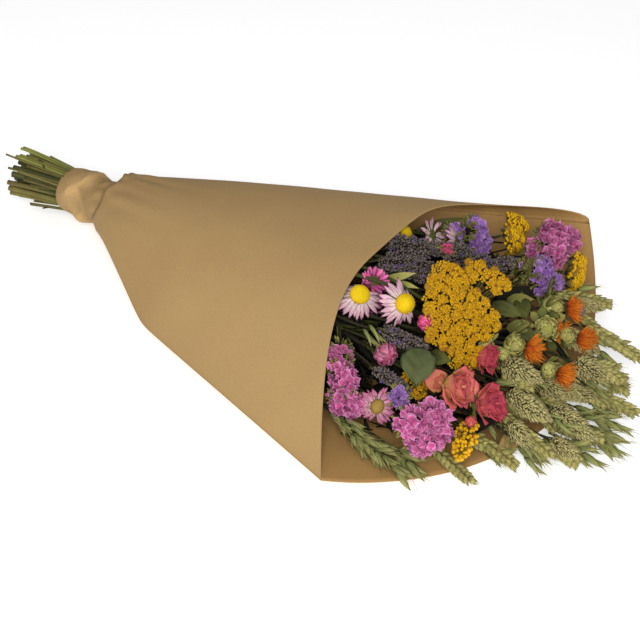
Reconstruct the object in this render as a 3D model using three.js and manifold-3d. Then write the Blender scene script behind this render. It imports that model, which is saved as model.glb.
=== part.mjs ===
// A mixed bouquet of dried flowers and grasses, lying on its side in a cone of brown kraft paper.
// Millimetres, +Z up. +X runs from the cut stem ends to the open mouth of the paper, and the
// origin is on the surface that the bouquet lies on, in the middle of the flat underside of the
// paper. The bouquet's own measures below start at the neck, where the stems are bound: x is
// the distance from there towards the flowers, y is sideways and z is the height.

import * as THREE from "three";
import { mergeVertices } from "three/addons/utils/BufferGeometryUtils.js";
import Module from "manifold-3d";

const wasm = await Module();
wasm.setup();

// Driving dimensions.
const REST_X = 230; // from the neck to the middle of the underside that the bouquet lies on
const BUNDLE_Y = -4; // the stem bundle's axis, sideways
const BUNDLE_Z = 35; // and its height
const PAPER = 0.9; // thickness of the paper
const GAP = 0.35; // clearance between pieces that touch
const NECK_Y = -3.2; // middle of the cone's narrow end, sideways
const NECK_Z = 40; // and its height, so that its underside lies against the collar
const NECK_R = 28; // its outer radius
const CONE_START = 6; // mean position of the cone's narrow end
const CONE_SLANT = 7; // how much further in that end starts at the top
const OPEN_X = 103; // from here on the section is flattened
const KINK_X = { near: 122.5, far: 80 }; // where the quick flare turns into the slower one
const KINK_W = { near: 112.5, far: 70 }; // half width there
const TOP_LIP_X = 283; // middle of the upper lip
const BOTTOM_LIP_X = 470; // middle of the lower lip
const SIDE_LIP_X = { near: 357, far: 394.6 }; // corners of the mouth
const SIDE_LIP_W = { near: 184, far: 210 }; // half width there
const TOP_Z = 86.8; // height of the upper lip
const SIDE_Z = { near: 20, far: 41 }; // height of the side creases at the mouth
const FLAT_SHARE = { near: 0.35, far: 0.55 }; // share of the half width that lies flat
const STEM_PITCH = 5.2; // distance between the stems where they are bound
const STEM_R = 2.4; // radius of a stem there
const TIE_X = -15; // where the binding goes round the stems
const PINCH_R = 20.6; // outer radius of the collar there
const CUT_X = -98; // mean position of the cut stem ends
const CUT_SPREAD = 28; // how much their lengths differ
const SPLAY = 0.0052; // how fast the cut ends spread behind the binding
const MARGIN = 1.1; // room left between stems and heads when they are arranged

const COLOURS = {
  kraft: "#b08a55",
  collar: "#a88552",
  twine: "#8a6a3c",
  stem: "#6a713f",
  wheat: "#a79a58",
  phalaris: "#a3a06a",
  oat: "#8d9152",
  lavender: "#6f6678",
  yarrow: "#e0a80c",
  disc: "#e6c30a",
  petal: "#e9b4cc",
  deepPink: "#c94f86",
  statice: "#c95bb0",
  purple: "#7d57a8",
  rose: "#e0616b",
  orange: "#e0670e",
};

const TAU = 2 * Math.PI;
const vec = (x, y, z) => new THREE.Vector3(x, y, z);
const { lerp, smoothstep } = THREE.MathUtils;

// A seeded random draw in 0..1, the same on every run.
function seeded(seed) {
  let state = seed >>> 0;
  return () => {
    state = (Math.imul(state, 1664525) + 1013904223) >>> 0;
    return state / 4294967296;
  };
}

// Solids

// The manifold solid of closed points and triangles.
function solidOf(points, faces) {
  const geometry = new THREE.BufferGeometry().setFromPoints(points);
  geometry.setIndex(faces.flat());
  const merged = mergeVertices(geometry, 1e-4);
  return new wasm.Manifold(
    new wasm.Mesh({
      numProp: 3,
      vertProperties: merged.attributes.position.array,
      triVerts: new Uint32Array(merged.index.array),
    }),
  );
}

// A named three.js mesh of a manifold solid.
function meshOf(name, solid, colour, roughness = 0.9) {
  const mesh = solid.getMesh();
  const position = new Float32Array(mesh.numVert * 3);
  for (let i = 0; i < mesh.numVert; i++) {
    position.set(mesh.vertProperties.subarray(i * mesh.numProp, i * mesh.numProp + 3), i * 3);
  }
  const geometry = new THREE.BufferGeometry()
    .setAttribute("position", new THREE.BufferAttribute(position, 3))
    .setIndex(new THREE.BufferAttribute(mesh.triVerts, 1));
  geometry.computeVertexNormals();
  const material = new THREE.MeshStandardMaterial({ color: colour, roughness, metalness: 0 });
  const made = new THREE.Mesh(geometry, material);
  made.name = name;
  return made;
}

// A closed skin over rings of equally many points, with a point at each end. Each ring runs
// counterclockwise seen from the end point.
function skin(rings, start, end) {
  const count = rings[0].length;
  const points = [start, ...rings.flat(), end];
  const last = points.length - 1;
  const at = (i, j) => 1 + i * count + (j % count);
  const faces = [];
  for (let j = 0; j < count; j++) {
    faces.push([0, at(0, j + 1), at(0, j)]);
    faces.push([last, at(rings.length - 1, j), at(rings.length - 1, j + 1)]);
    for (let i = 0; i + 1 < rings.length; i++) {
      faces.push([at(i, j), at(i, j + 1), at(i + 1, j)]);
      faces.push([at(i, j + 1), at(i + 1, j + 1), at(i + 1, j)]);
    }
  }
  return solidOf(points, faces);
}

// The frame of a solid whose own Z lies along facing, at a place. Its X is level, so that seen
// from in front of it X is to the right and Y is up.
function placement(at, facing) {
  const z = facing.clone().normalize();
  const x = new THREE.Vector3().crossVectors(vec(0, 0, 1), z).normalize();
  const y = new THREE.Vector3().crossVectors(z, x);
  return new THREE.Matrix4().makeBasis(x, y, z).setPosition(at);
}
const placed = (solid, at, facing) => solid.transform(placement(at, facing).elements);
const moved = (solid, x, y, z) => solid.translate([x, y, z]);
const union = (solids) => wasm.Manifold.union(solids);

// A tapered round tube through the given points.
function tube(points, radii, sides = 5) {
  let reference = vec(0, 1, 0);
  const rings = points.map((p, i) => {
    const before = points[Math.max(i - 1, 0)];
    const after = points[Math.min(i + 1, points.length - 1)];
    const along = after.clone().sub(before).normalize();
    const u = reference.clone().addScaledVector(along, -reference.dot(along)).normalize();
    const v = new THREE.Vector3().crossVectors(along, u);
    reference = u;
    return Array.from({ length: sides }, (_, j) => {
      const a = (j / sides) * TAU;
      const spoke = u.clone().multiplyScalar(Math.cos(a)).addScaledVector(v, Math.sin(a));
      return p.clone().addScaledVector(spoke, radii[i]);
    });
  });
  return skin(rings, points[0].clone(), points[points.length - 1].clone());
}

// A closed head whose surface is a staggered net of points. Every third point stands out of it,
// as a scale, bud or floret, by raise(u) = [outwards, forwards]. profile(u) = [radius, height].
function lattice(around, rows, profile, raise, options = {}) {
  const { flat = 1, seed = 1, ragged = 0.3 } = options;
  const draw = seeded(seed);
  const rings = [];
  for (let i = 1; i <= rows; i++) {
    const u = i / (rows + 1);
    const [radius, height] = profile(u);
    const [out, forward] = raise(u);
    const ring = [];
    for (let j = 0; j < around; j++) {
      const angle = ((j + i / 2) / around) * TAU;
      const raised = (j - i + 3 * rows) % 3 === 0 ? 1 - ragged * draw() : 0;
      const r = radius + out * raised;
      ring.push(vec(r * Math.cos(angle), flat * r * Math.sin(angle), height + forward * raised));
    }
    rings.push(ring);
  }
  return skin(rings, vec(0, 0, profile(0)[1]), vec(0, 0, profile(1)[1]));
}

// The round profile of an egg or spindle, from -length / 2 to length / 2. Where it is widest is
// set by shoulder: 1 in the middle, less nearer the base.
const egg = (radius, length, shoulder = 1) => (u) => {
  const swell = Math.sin(Math.PI * Math.pow(u, shoulder));
  return [radius * Math.pow(Math.max(swell, 0), 0.6), length * (u - 0.5)];
};

// A domed flat-topped head with florets raised on a triangular net of points. outline(angle)
// scales its radius, so that the rim can be lobed. Its rim is at height 0.
function corymb(size, radius, outline = () => 1) {
  const dome = 0.16 * radius;
  const depth = 0.4 * radius;
  const bump = Math.min(3.2, (0.75 * radius) / size);
  const index = new Map();
  const points = [];
  const rim = [];
  for (let q = -size; q <= size; q++) {
    for (let r = -size; r <= size; r++) {
      const ring = Math.max(Math.abs(q), Math.abs(r), Math.abs(q + r));
      if (ring > size) continue;
      const angle = Math.atan2((r * Math.sqrt(3)) / 2, q + r / 2);
      const share = ring / size;
      const reach = radius * share * outline(angle);
      const raised = (((q - r) % 3) + 3) % 3 === 0 && ring < size ? bump : 0;
      index.set(q + "," + r, points.length);
      if (ring === size) rim.push({ angle, i: points.length });
      const height = dome * (1 - share * share) + raised;
      points.push(vec(reach * Math.cos(angle), reach * Math.sin(angle), height));
    }
  }
  const faces = [];
  for (const key of index.keys()) {
    const [q, r] = key.split(",").map(Number);
    const right = index.get(q + 1 + "," + r);
    const up = index.get(q + "," + (r + 1));
    const down = index.get(q + 1 + "," + (r - 1));
    if (right !== undefined && up !== undefined) faces.push([index.get(key), right, up]);
    if (right !== undefined && down !== undefined) faces.push([index.get(key), down, right]);
  }
  rim.sort((a, b) => a.angle - b.angle);
  const under = rim.map(({ i }) => {
    return points.push(vec(points[i].x * 0.5, points[i].y * 0.5, -0.6 * depth)) - 1;
  });
  const base = points.push(vec(0, 0, -depth)) - 1;
  rim.forEach(({ i }, j) => {
    const next = (j + 1) % rim.length;
    faces.push([rim[next].i, i, under[j]], [rim[next].i, under[j], under[next]]);
    faces.push([under[next], under[j], base]);
  });
  return solidOf(points, faces);
}

// A thin pointed blade along +X, its flat side up. The edges rise by fold times their distance
// from the rib, and curl lifts or droops the far end.
function blade(length, width, options = {}) {
  const { thick = 0.9, curl = 0, fold = 0, rows = 2, start = 0, widest = 0.6 } = options;
  const rings = [];
  for (let i = 1; i <= rows; i++) {
    const u = i / (rows + 1);
    const half = (width / 2) * Math.sin(Math.PI * Math.pow(u, Math.log(0.5) / Math.log(widest)));
    const x = start + u * length;
    const z = curl * u * u;
    rings.push([
      vec(x, half, z + fold * half),
      vec(x, 0, z + thick / 2),
      vec(x, -half, z + fold * half),
      vec(x, 0, z - thick / 2),
    ]);
  }
  return skin(rings, vec(start, 0, 0), vec(start + length, 0, curl));
}

// Paper

const sideOf = (across) => (across > 0 ? "far" : "near");

// Middle and half width of the paper cone, x from the neck. Each side flares quickly up to its
// kink and slowly after it.
const middle = (x) => NECK_Y * (1 - smoothstep(x, 0, 120));
function halfWidth(x, across) {
  const side = sideOf(across);
  const blend = 1.8;
  const flare = NECK_R + ((KINK_W[side] - NECK_R) / KINK_X[side]) * Math.max(x, 0);
  const slope = (SIDE_LIP_W[side] - KINK_W[side]) / (SIDE_LIP_X[side] - KINK_X[side]);
  const slow = KINK_W[side] + slope * (x - KINK_X[side]);
  const least = Math.min(flare, slow);
  const rest = Math.exp((least - flare) / blend) + Math.exp((least - slow) / blend);
  return Math.max(NECK_R, least - blend * Math.log(rest));
}

// Where the upper and the lower lip end, across from -1 at the near crease to 1 at the far one.
function topLip(across) {
  const power = across > 0 ? 9 : 2.1;
  return TOP_LIP_X + (SIDE_LIP_X[sideOf(across)] - TOP_LIP_X) * Math.pow(Math.abs(across), power);
}
function bottomLip(across) {
  const power = across > 0 ? 1.8 : 1.5;
  const side = SIDE_LIP_X[sideOf(across)];
  return BOTTOM_LIP_X + (side - BOTTOM_LIP_X) * Math.pow(Math.abs(across), power);
}

// Heights of the paper's outer faces: round at the neck, then flattened. Towards the mouth the
// far side of the upper sheet becomes steep.
function creaseHeight(x, across) {
  return NECK_Z + (SIDE_Z[sideOf(across)] - NECK_Z) * smoothstep(x, 0, OPEN_X * 1.2);
}
function topHeight(x, across) {
  const away = Math.min(1, Math.abs(across));
  const open = smoothstep(x, 0, OPEN_X);
  const peak = NECK_Z + NECK_R + (TOP_Z - NECK_Z - NECK_R) * smoothstep(x, -20, 260);
  const power = across > 0 ? lerp(0.5, 0.34, smoothstep(x, 230, 395)) : 1.2;
  const crown = Math.pow(1 - away * away, power);
  const crease = creaseHeight(x, across);
  return crease + (peak - crease) * lerp(Math.sqrt(1 - away * away), crown, open);
}
function bottomHeight(x, across) {
  const away = Math.min(1, Math.abs(across));
  const open = smoothstep(x, 0, OPEN_X);
  const flat = FLAT_SHARE[sideOf(across)];
  const belly = Math.pow(Math.max(0, (away - flat) / (1 - flat)), across > 0 ? 2 : 1.6);
  const crease = creaseHeight(x, across);
  const low = crease - (crease - NECK_Z + NECK_R) * Math.sqrt(1 - away * away);
  return lerp(low, crease * belly, open);
}

// A point of the paper's outer face. angle goes round the section, 0 at the far side crease,
// a quarter turn at the top; share runs from the neck to the lip.
function conePoint(angle, share) {
  const across = Math.cos(angle);
  const isTop = Math.sin(angle) >= 0;
  const lip = isTop ? topLip(across) : bottomLip(across);
  const start = CONE_START + CONE_SLANT * Math.sin(angle);
  const x = start + (lip - start) * share;
  const z = isTop ? topHeight(x, across) : bottomHeight(x, across);
  return vec(x, middle(x) + halfWidth(x, across) * across, z);
}

// The crumpled strip of paper round the stems: radius against x, from its free rim, over the
// bulge and the pinch at the binding, to under the cone's neck.
const collarProfile = new THREE.SplineCurve(
  [
    [-49, 20.2],
    [-44, 21.7],
    [-33, 22.7],
    [-24, 22.4],
    [TIE_X, PINCH_R],
    [-2, 21.2],
    [16, 21.6],
  ].map(([x, r]) => new THREE.Vector2(x, r)),
);
function collarPoint(angle, share) {
  const { x, y: radius } = collarProfile.getPoint(share);
  const loose = smoothstep(share, 0.05, 0.3) * (1 - smoothstep(share, 0.4, 0.6));
  const broad = Math.cos(angle - 1) + 0.8 * Math.sin(3 * angle + 5 * share);
  const r = radius + loose * (broad + 0.7 * Math.sin(7 * angle - 8 * share));
  return vec(x, BUNDLE_Y + r * Math.cos(angle), BUNDLE_Z + r * Math.sin(angle));
}

// A thin open shell with both faces and both rims, closed all round, from an outer face.
function shell(pointAt, around, along, thick) {
  const outer = [];
  const inner = [];
  const step = 1e-3;
  for (let i = 0; i <= along; i++) {
    for (let j = 0; j < around; j++) {
      const a = (j / around) * TAU;
      const s = i / along;
      const p = pointAt(a, s);
      const round = pointAt(a + step, s).sub(pointAt(a - step, s));
      const out = pointAt(a, Math.min(s + step, 1)).sub(pointAt(a, Math.max(s - step, 0)));
      const normal = new THREE.Vector3().crossVectors(round, out).normalize();
      outer.push(p);
      inner.push(p.clone().addScaledVector(normal, -thick));
    }
  }
  const total = outer.length;
  const faces = [];
  const at = (i, j, depth) => i * around + (j % around) + depth * total;
  for (let j = 0; j < around; j++) {
    for (let i = 0; i < along; i++) {
      const [a, b, c, d] = [at(i, j, 0), at(i, j + 1, 0), at(i + 1, j, 0), at(i + 1, j + 1, 0)];
      faces.push([a, b, c], [b, d, c]);
      faces.push([a + total, c + total, b + total], [b + total, c + total, d + total]);
    }
    const [a, b, c, d] = [at(0, j, 0), at(0, j + 1, 0), at(0, j, 1), at(0, j + 1, 1)];
    faces.push([a, c, b], [b, c, d]);
    const [e, f, g, h] = [at(along, j, 0), at(along, j + 1, 0), at(along, j, 1), at(along, j + 1, 1)];
    faces.push([e, f, g], [f, h, g]);
  }
  return solidOf([...outer, ...inner], faces);
}

// Blooms. Each has its solid about the middle of the bloom with +Z the way it faces, the
// distance back to where its stem joins, its colour, and the rods that it takes up, each from
// one point to another with a radius. What is green on it belongs to the stem.

const rod = (a, b, radius) => ({ a: vec(...a), b: vec(...b), radius });
function star(reach, height, radius, arms = 5) {
  return Array.from({ length: arms }, (_, k) => {
    const a = (k * Math.PI) / arms;
    const [x, y] = [reach * Math.cos(a), reach * Math.sin(a)];
    return rod([x, y, height], [-x, -y, height], radius);
  });
}
const along = (length, radius) => {
  const half = Math.max(length / 2 - radius, 0.1);
  return [rod([0, 0, -half], [0, 0, half], radius)];
};

function yarrow(radius, size, colour = COLOURS.yarrow, outline = () => 1) {
  return {
    colour,
    solid: corymb(size, radius, outline),
    joint: 0.4 * radius,
    rods: [
      ...star(radius * 0.88, 0, radius * 0.15),
      rod([0, 0, -0.24 * radius], [0, 0, -0.1 * radius], 0.42 * radius),
    ],
  };
}

function daisyPetals(count, length, droop, colour, width = 5.5) {
  const foot = 6.2;
  const circle = (r, z) => {
    return Array.from({ length: 9 }, (_, j) => {
      return vec(r * Math.cos((j * TAU) / 9), r * Math.sin((j * TAU) / 9), z);
    });
  };
  const parts = [skin([circle(foot * 0.8, -2.6), circle(foot, -0.6)], vec(0, 0, -4), vec(0, 0, -0.6))];
  for (let k = 0; k < count; k++) {
    const petal = blade(length, width, { start: 3.5, curl: droop, widest: 0.7, fold: -0.12 });
    parts.push(moved(petal, 0, 0, -1.5).rotate([0, 0, (k / count) * 360]));
  }
  return {
    colour,
    solid: union(parts),
    joint: 4,
    rods: [...star(length * 0.8 + 3.5, droop * 0.55 - 1.5, 3.9), rod([0, 0, -2], [0, 0, 4], 7)],
  };
}

function daisyDisc(radius, height) {
  const profile = (u) => {
    const swell = Math.sin(Math.PI * Math.min(1, 0.16 + 0.84 * u));
    return [radius * Math.pow(Math.max(swell, 0), 0.6), height * Math.pow(u, 1.3)];
  };
  return moved(lattice(9, 5, profile, () => [0.5, 0.3]), 0, 0, -0.6 + GAP);
}

// A ruffled head of small papery flowers.
function statice(radius, length, around, rows, colour, seed, flat = 1) {
  return {
    colour,
    solid: lattice(around, rows, egg(radius - 2, length, 0.9), () => [4, 1.5], { seed, ragged: 0.7, flat }),
    joint: length / 2,
    rods: length > 2 * radius ? along(length, radius + 1.5) : star(radius * 0.5, 0, radius * 0.55),
  };
}

// A rose: nested cups of petals round a closed heart, as one skin that runs up the outside of
// each cup, over its lip and down into the groove inside it. A lip is notched between petals.
const ROSE_LIPS = [
  { reach: 1, lift: 0.16, petals: 5, turn: 0 },
  { reach: 0.72, lift: 0.36, petals: 4, turn: 0.5 },
  { reach: 0.42, lift: 0.48, petals: 3, turn: 1.2 },
];
function rose(radius, height, lips = ROSE_LIPS, around = 15) {
  const ring = (reach, lift, notch = 0, petals = 1, turn = 0) => {
    return Array.from({ length: around }, (_, j) => {
      const a = (j / around) * TAU;
      const dip = notch * (1 - Math.abs(Math.cos((petals / 2) * (a - turn)))) ** 2;
      const r = radius * reach * (1 - 0.2 * dip);
      return vec(r * Math.cos(a), r * Math.sin(a), height * (lift - 0.3 * dip));
    });
  };
  const rings = [ring(lips[0].reach * 0.5, -0.4), ring(lips[0].reach * 0.9, -0.12)];
  for (const { reach, lift, petals, turn } of lips) {
    rings.push(ring(reach, lift, 1, petals, turn), ring(reach - 0.08, lift - 0.03, 1, petals, turn));
    rings.push(ring(reach - 0.22, lift - 0.2));
  }
  rings.push(ring(lips[lips.length - 1].reach * 0.35, 0.42));
  const hip = radius * 0.36;
  const drop = -height / 2 - GAP - hip;
  const sepals = [0, 120, 240].map((turn) => {
    const sepal = blade(radius * 0.75, radius * 0.4, { start: hip * 0.5, curl: radius * 0.6 });
    return moved(sepal, 0, 0, drop).rotate([0, 0, turn]);
  });
  return {
    colour: COLOURS.rose,
    solid: skin(rings, vec(0, 0, -height / 2), vec(0, 0, height * 0.5)),
    green: union([moved(lattice(6, 2, egg(hip, hip * 2), () => [0.3, 0]), 0, 0, drop), ...sepals]),
    joint: -drop + hip * 0.4,
    rods: [...along(height, radius), rod([0, 0, drop], [0, 0, drop + hip], hip + 1)],
  };
}

// Closed overlapping bracts, as on a strawflower bud.
function bud(radius, length, colour) {
  return {
    colour,
    solid: lattice(9, 5, egg(radius - 1, length, 0.85), (u) => [1.2, 3.2 * (1 - u)], { ragged: 0.1 }),
    joint: length / 2,
    rods: along(length, radius),
  };
}

// A safflower: a brush of orange florets over a green leafy ball.
function safflower(radius, length, ball) {
  const brush = (u) => {
    const swell = Math.sin(Math.PI * Math.min(1, 0.2 + 0.8 * u));
    return [lerp(0.35, 0.75, u) * radius * Math.pow(Math.max(swell, 0), 0.4), length * (u - 0.5)];
  };
  const green = lattice(6, 4, egg(ball, ball * 2.1, 0.8), (u) => [1.5, 4 * (1 - u)], { ragged: 0.2 });
  const drop = length / 2 + ball * 1.05 + GAP;
  const leaves = [0, 1, 2, 3].map((k) => {
    const bract = blade(ball * 1.9, ball * 0.9, { start: ball * 0.4, curl: ball * 0.5, fold: 0.25 });
    return moved(bract, 0, 0, -drop - ball * 0.35).rotate([0, 0, 45 + 90 * k]);
  });
  return {
    colour: COLOURS.orange,
    solid: lattice(12, 3, brush, (u) => [radius * 0.3, 3 + 2 * u], { ragged: 0.5 }),
    joint: drop + ball * 0.8,
    green: union([moved(green, 0, 0, -drop), ...leaves]),
    rods: [
      ...along(length, radius),
      rod([0, 0, -drop - ball * 0.4], [0, 0, -drop + ball * 0.2], ball * 1.3),
    ],
  };
}

// Heads that are one piece with their stem.

function spike(length, radius, around, rows, raise, options) {
  return {
    fused: true,
    solid: lattice(around, rows, egg(radius, length, options.shoulder ?? 1), raise, options),
    joint: length / 2 - 3,
    rods: along(length, radius + 1),
  };
}
const lavender = (length, radius = 4.2) => spike(length, radius, 6, 8, () => [2.2, 1.2], { seed: 3 });
const wheat = (length) => spike(length, 4.2, 6, 9, (u) => [2.8, 4 + 3 * u], { flat: 0.8, ragged: 0 });
const phalaris = (length, radius = 9.5) => {
  return spike(length, radius, 9, 7, (u) => [2, 2 + 3 * u], { shoulder: 0.8 });
};

// An oat panicle: drooping spikelets on short stalks along the stem's end.
function oat(length, spikelets, spread) {
  const circle = (r, z) => {
    return Array.from({ length: 4 }, (_, j) => {
      return vec(r * Math.cos((j * TAU) / 4), 0.8 * r * Math.sin((j * TAU) / 4), z);
    });
  };
  const spikelet = skin([circle(3, 5), circle(2.6, 12)], vec(0, 0, 0), vec(0, 0, 25));
  const stalk = [vec(0, 0, -length / 2), vec(0, 0, 0), vec(0, 0, length * 0.3)];
  const parts = [tube(stalk, [1, 0.8, 0.6], 4)];
  for (let k = 0; k < spikelets; k++) {
    const share = k / (spikelets - 1);
    const side = k % 2 ? 1 : -1;
    const foot = vec(0, 0, length * (-0.45 + 0.72 * share));
    const lean = side * spread * (1 - 0.75 * share);
    const way = vec(Math.sin(lean), 0.25 * Math.cos(2.4 * k), Math.cos(lean)).normalize();
    const neck = foot.clone().addScaledVector(way, 7);
    parts.push(tube([foot, neck.clone().addScaledVector(way, 1.5)], [0.5, 0.5], 3));
    parts.push(placed(spikelet, neck, way));
  }
  return {
    fused: true,
    solid: union(parts),
    joint: length / 2 - 1,
    rods: [-1, 0, 1].map((side) => {
      const tip = [side * 30 * Math.sin(spread), 0, (side ? -0.45 : 0.2) * length + 30 * Math.cos(spread)];
      return rod([0, 0, -0.45 * length], tip, 7);
    }),
  };
}

// A folded leaf, its tip the way it faces.
function leaf(length, width, fold = 0.35) {
  const options = { rows: 3, curl: -0.12 * length, fold, widest: 0.4, start: -length / 2 };
  return {
    fused: true,
    solid: blade(length, width, options).rotate([0, -90, 0]),
    joint: length / 2 - 1,
    rods: [
      rod([0, 0, -length * 0.3], [0, 0, length * 0.4], width * 0.25),
      rod([0, -width * 0.4, -length * 0.1], [0, width * 0.4, -length * 0.1], 3),
    ],
  };
}

// Plants: the stem's name, then its heads. A head has the name of its node, unless it is one
// piece with the stem, then its form, the middle of the bloom and the way it faces.

const bigLobes = (a) => {
  return 1 + 0.07 * Math.cos(a - 2) + 0.07 * Math.cos(5 * a - 4.1) + 0.2 * Math.exp(-6 * (a - 0.8) ** 2);
};
const bigYarrow = yarrow(33, 8, COLOURS.yarrow, bigLobes);
const palePetals = (count, length, droop) => daisyPetals(count, length, droop, COLOURS.petal);
const pinkStatice = (...size) => statice(...size.slice(0, 4), COLOURS.statice, ...size.slice(4));
const purpleStatice = (...size) => statice(...size.slice(0, 4), COLOURS.purple, ...size.slice(4));
const PLANTS = [
  { stem: "yarrow_stem_1", heads: [["yarrow_1", bigYarrow, [387, -23, 90], [0.56, -0.48, 0.68]]] },
  { stem: "yarrow_stem_2", heads: [["yarrow_2", yarrow(20, 5), [358, 120, 70], [0.89, 0.32, 0.3]]] },
  { stem: "yarrow_stem_3", heads: [["yarrow_3", yarrow(20, 5), [422, 116, 56], [0.93, 0.31, 0.1]]] },
  { stem: "yarrow_stem_4", heads: [["yarrow_4", yarrow(13, 4), [374, -76, 48], [0.67, -0.37, 0.6]]] },
  {
    stem: "daisy_stem_1",
    heads: [["daisy_petals_1", palePetals(11, 17, -7), [296, -31, 86], [0.42, -0.34, 0.84]]],
  },
  {
    stem: "daisy_stem_2",
    heads: [["daisy_petals_2", palePetals(11, 16, -7), [342, -39, 93], [0.71, -0.42, 0.55]]],
  },
  {
    stem: "daisy_stem_3",
    heads: [["daisy_petals_3", palePetals(9, 14, -5), [276, 74, 66], [0.78, 0.23, 0.55]]],
  },
  {
    stem: "daisy_stem_4",
    heads: [["daisy_petals_4", palePetals(9, 15, 2), [359, -107, 42], [0.76, -0.42, 0.45]]],
  },
  {
    stem: "daisy_stem_5",
    heads: [["daisy_petals_5", daisyPetals(9, 15, 6, COLOURS.deepPink), [292, -8, 70], [0.91, 0.11, 0.4]]],
  },
  {
    stem: "pink_statice_stem_1",
    fork: 3,
    heads: [
      ["pink_statice_2", pinkStatice(22, 40, 15, 7, 5, 1.15), [411, -118, 50], [0.71, -0.47, 0.5]],
      ["pink_statice_1", pinkStatice(12, 66, 12, 10, 7), [326, -101, 50], [0.61, -0.72, -0.25]],
    ],
  },
  {
    stem: "pink_statice_stem_2",
    heads: [["pink_statice_3", pinkStatice(18, 34, 12, 6, 9, 1.2), [394, 127, 68], [0.83, 0.27, 0.5]]],
  },
  {
    stem: "purple_statice_stem",
    fork: 3,
    heads: [
      ["purple_statice_2", purpleStatice(14, 26, 12, 5, 11, 1.1), [401, 90, 62], [0.83, 0.32, 0.4]],
      ["purple_statice_1", purpleStatice(17, 26, 12, 6, 13, 1.3), [332, 99, 68], [0.85, 0.47, 0.1]],
    ],
  },
  {
    stem: "lavender_1",
    fork: 2,
    heads: [
      [null, lavender(44, 5), [352, 55, 80], [0.86, 0.42, 0.2]],
      [null, lavender(44, 5), [301, 32, 76], [0.89, 0.37, 0.2]],
    ],
  },
  {
    stem: "lavender_2",
    fork: 2,
    heads: [
      [null, lavender(42), [341, 20, 78], [0.94, 0.21, 0.12]],
      [null, lavender(40), [299, 6, 72], [0.95, 0.16, 0.12]],
    ],
  },
  { stem: "lavender_3", heads: [[null, lavender(34), [369, 69, 72], [0.75, 0.53, 0.3]]] },
  {
    stem: "lavender_4",
    fork: 2,
    heads: [
      [null, lavender(48, 5), [353, -59, 72], [0.97, -0.14, 0.1]],
      [null, lavender(36, 4.5), [357, -84, 52], [0.95, -0.21, 0.05]],
    ],
  },
  {
    stem: "rose_stem",
    fork: 4,
    heads: [
      ["rose_1", rose(13, 22), [421, -78, 72], [0.69, -0.37, 0.6]],
      ["rose_2", rose(12, 21), [446, -79, 62], [0.87, -0.18, 0.45]],
      ["rose_bud", rose(9, 17, ROSE_LIPS.slice(1), 12), [419, -36, 62], [0.91, 0.06, 0.3]],
      [null, leaf(33, 24), [383, -84, 77], [0.44, -0.66, 0.1]],
      [null, leaf(26, 14), [386, -54, 66], [0.7, -0.2, 0.3]],
    ],
  },
  {
    stem: "strawflower_stem",
    fork: 3,
    heads: [
      ["strawflower_1", bud(9.5, 19, "#d8648f"), [345, -68, 62], [0.65, -0.51, 0.4]],
      ["strawflower_2", bud(7, 15, "#d8478a"), [364, -43, 86], [0.71, -0.47, 0.5]],
    ],
  },
  {
    stem: "safflower_stem_1",
    fork: 4,
    heads: [
      ["safflower_1", safflower(10, 15, 10.5), [449, 66, 62], [0.89, 0.37, 0.1]],
      ["safflower_2", safflower(10, 15, 8), [468, 50, 50], [0.92, 0.21, 0.05]],
      [null, leaf(34, 14), [392, 64, 46], [0.9, 0.1, 0.3]],
    ],
  },
  {
    stem: "safflower_stem_2",
    fork: 4,
    heads: [
      ["safflower_3", safflower(9, 14, 9.5), [448, -9, 66], [0.93, 0.06, 0.15]],
      ["safflower_4", safflower(9, 14, 7), [475, -4, 54], [0.96, 0.03, 0.05]],
      [null, leaf(22, 13), [416, 26, 56], [0.85, 0.1, 0.5]],
    ],
  },
  {
    stem: "helichrysum_stem",
    heads: [
      ["helichrysum", statice(9, 44, 9, 9, COLOURS.yarrow, 17), [436, -100, 41], [0.21, -0.92, -0.22]],
    ],
  },
  {
    stem: "phalaris_1",
    fork: 3,
    heads: [
      [null, phalaris(38), [445, -30, 58], [0.97, -0.07, 0.02]],
      [null, phalaris(38), [488, 20, 42], [0.96, 0.11, -0.1]],
    ],
  },
  {
    stem: "phalaris_2",
    fork: 3,
    heads: [
      [null, phalaris(44), [467, -36, 48], [0.97, -0.09, -0.1]],
      [null, phalaris(46), [493, -37, 32], [0.95, -0.11, -0.15]],
      [null, phalaris(30, 7), [499, -45, 18], [0.97, -0.09, -0.05]],
    ],
  },
  {
    stem: "wheat_1",
    fork: 2,
    heads: [
      [null, wheat(62), [472, -59, 30], [0.91, -0.21, -0.2]],
      [null, wheat(60), [450, -73, 13], [0.93, -0.24, 0]],
    ],
  },
  { stem: "wheat_2", heads: [[null, wheat(50), [432, -106, 12], [0.91, -0.34, 0]]] },
  {
    stem: "wheat_3",
    fork: 2,
    heads: [
      [null, wheat(52), [443, 100, 48], [0.96, 0.25, 0]],
      [null, wheat(60), [489, 68, 42], [0.94, 0.06, -0.3]],
    ],
  },
  {
    stem: "wheat_4",
    fork: 2,
    heads: [
      [null, wheat(52), [488, 42, 30], [0.96, 0.11, -0.05]],
      [null, wheat(50), [512, 17, 32], [0.98, 0.01, -0.1]],
    ],
  },
  { stem: "oat_1", heads: [[null, oat(80, 8, 0.35), [377, -132, 19], [0.92, -0.33, 0.02]]] },
  { stem: "oat_2", heads: [[null, oat(62, 8, 0.7), [513, -13, 20], [0.98, -0.07, -0.12]]] },
];

// Arrangement

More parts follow.
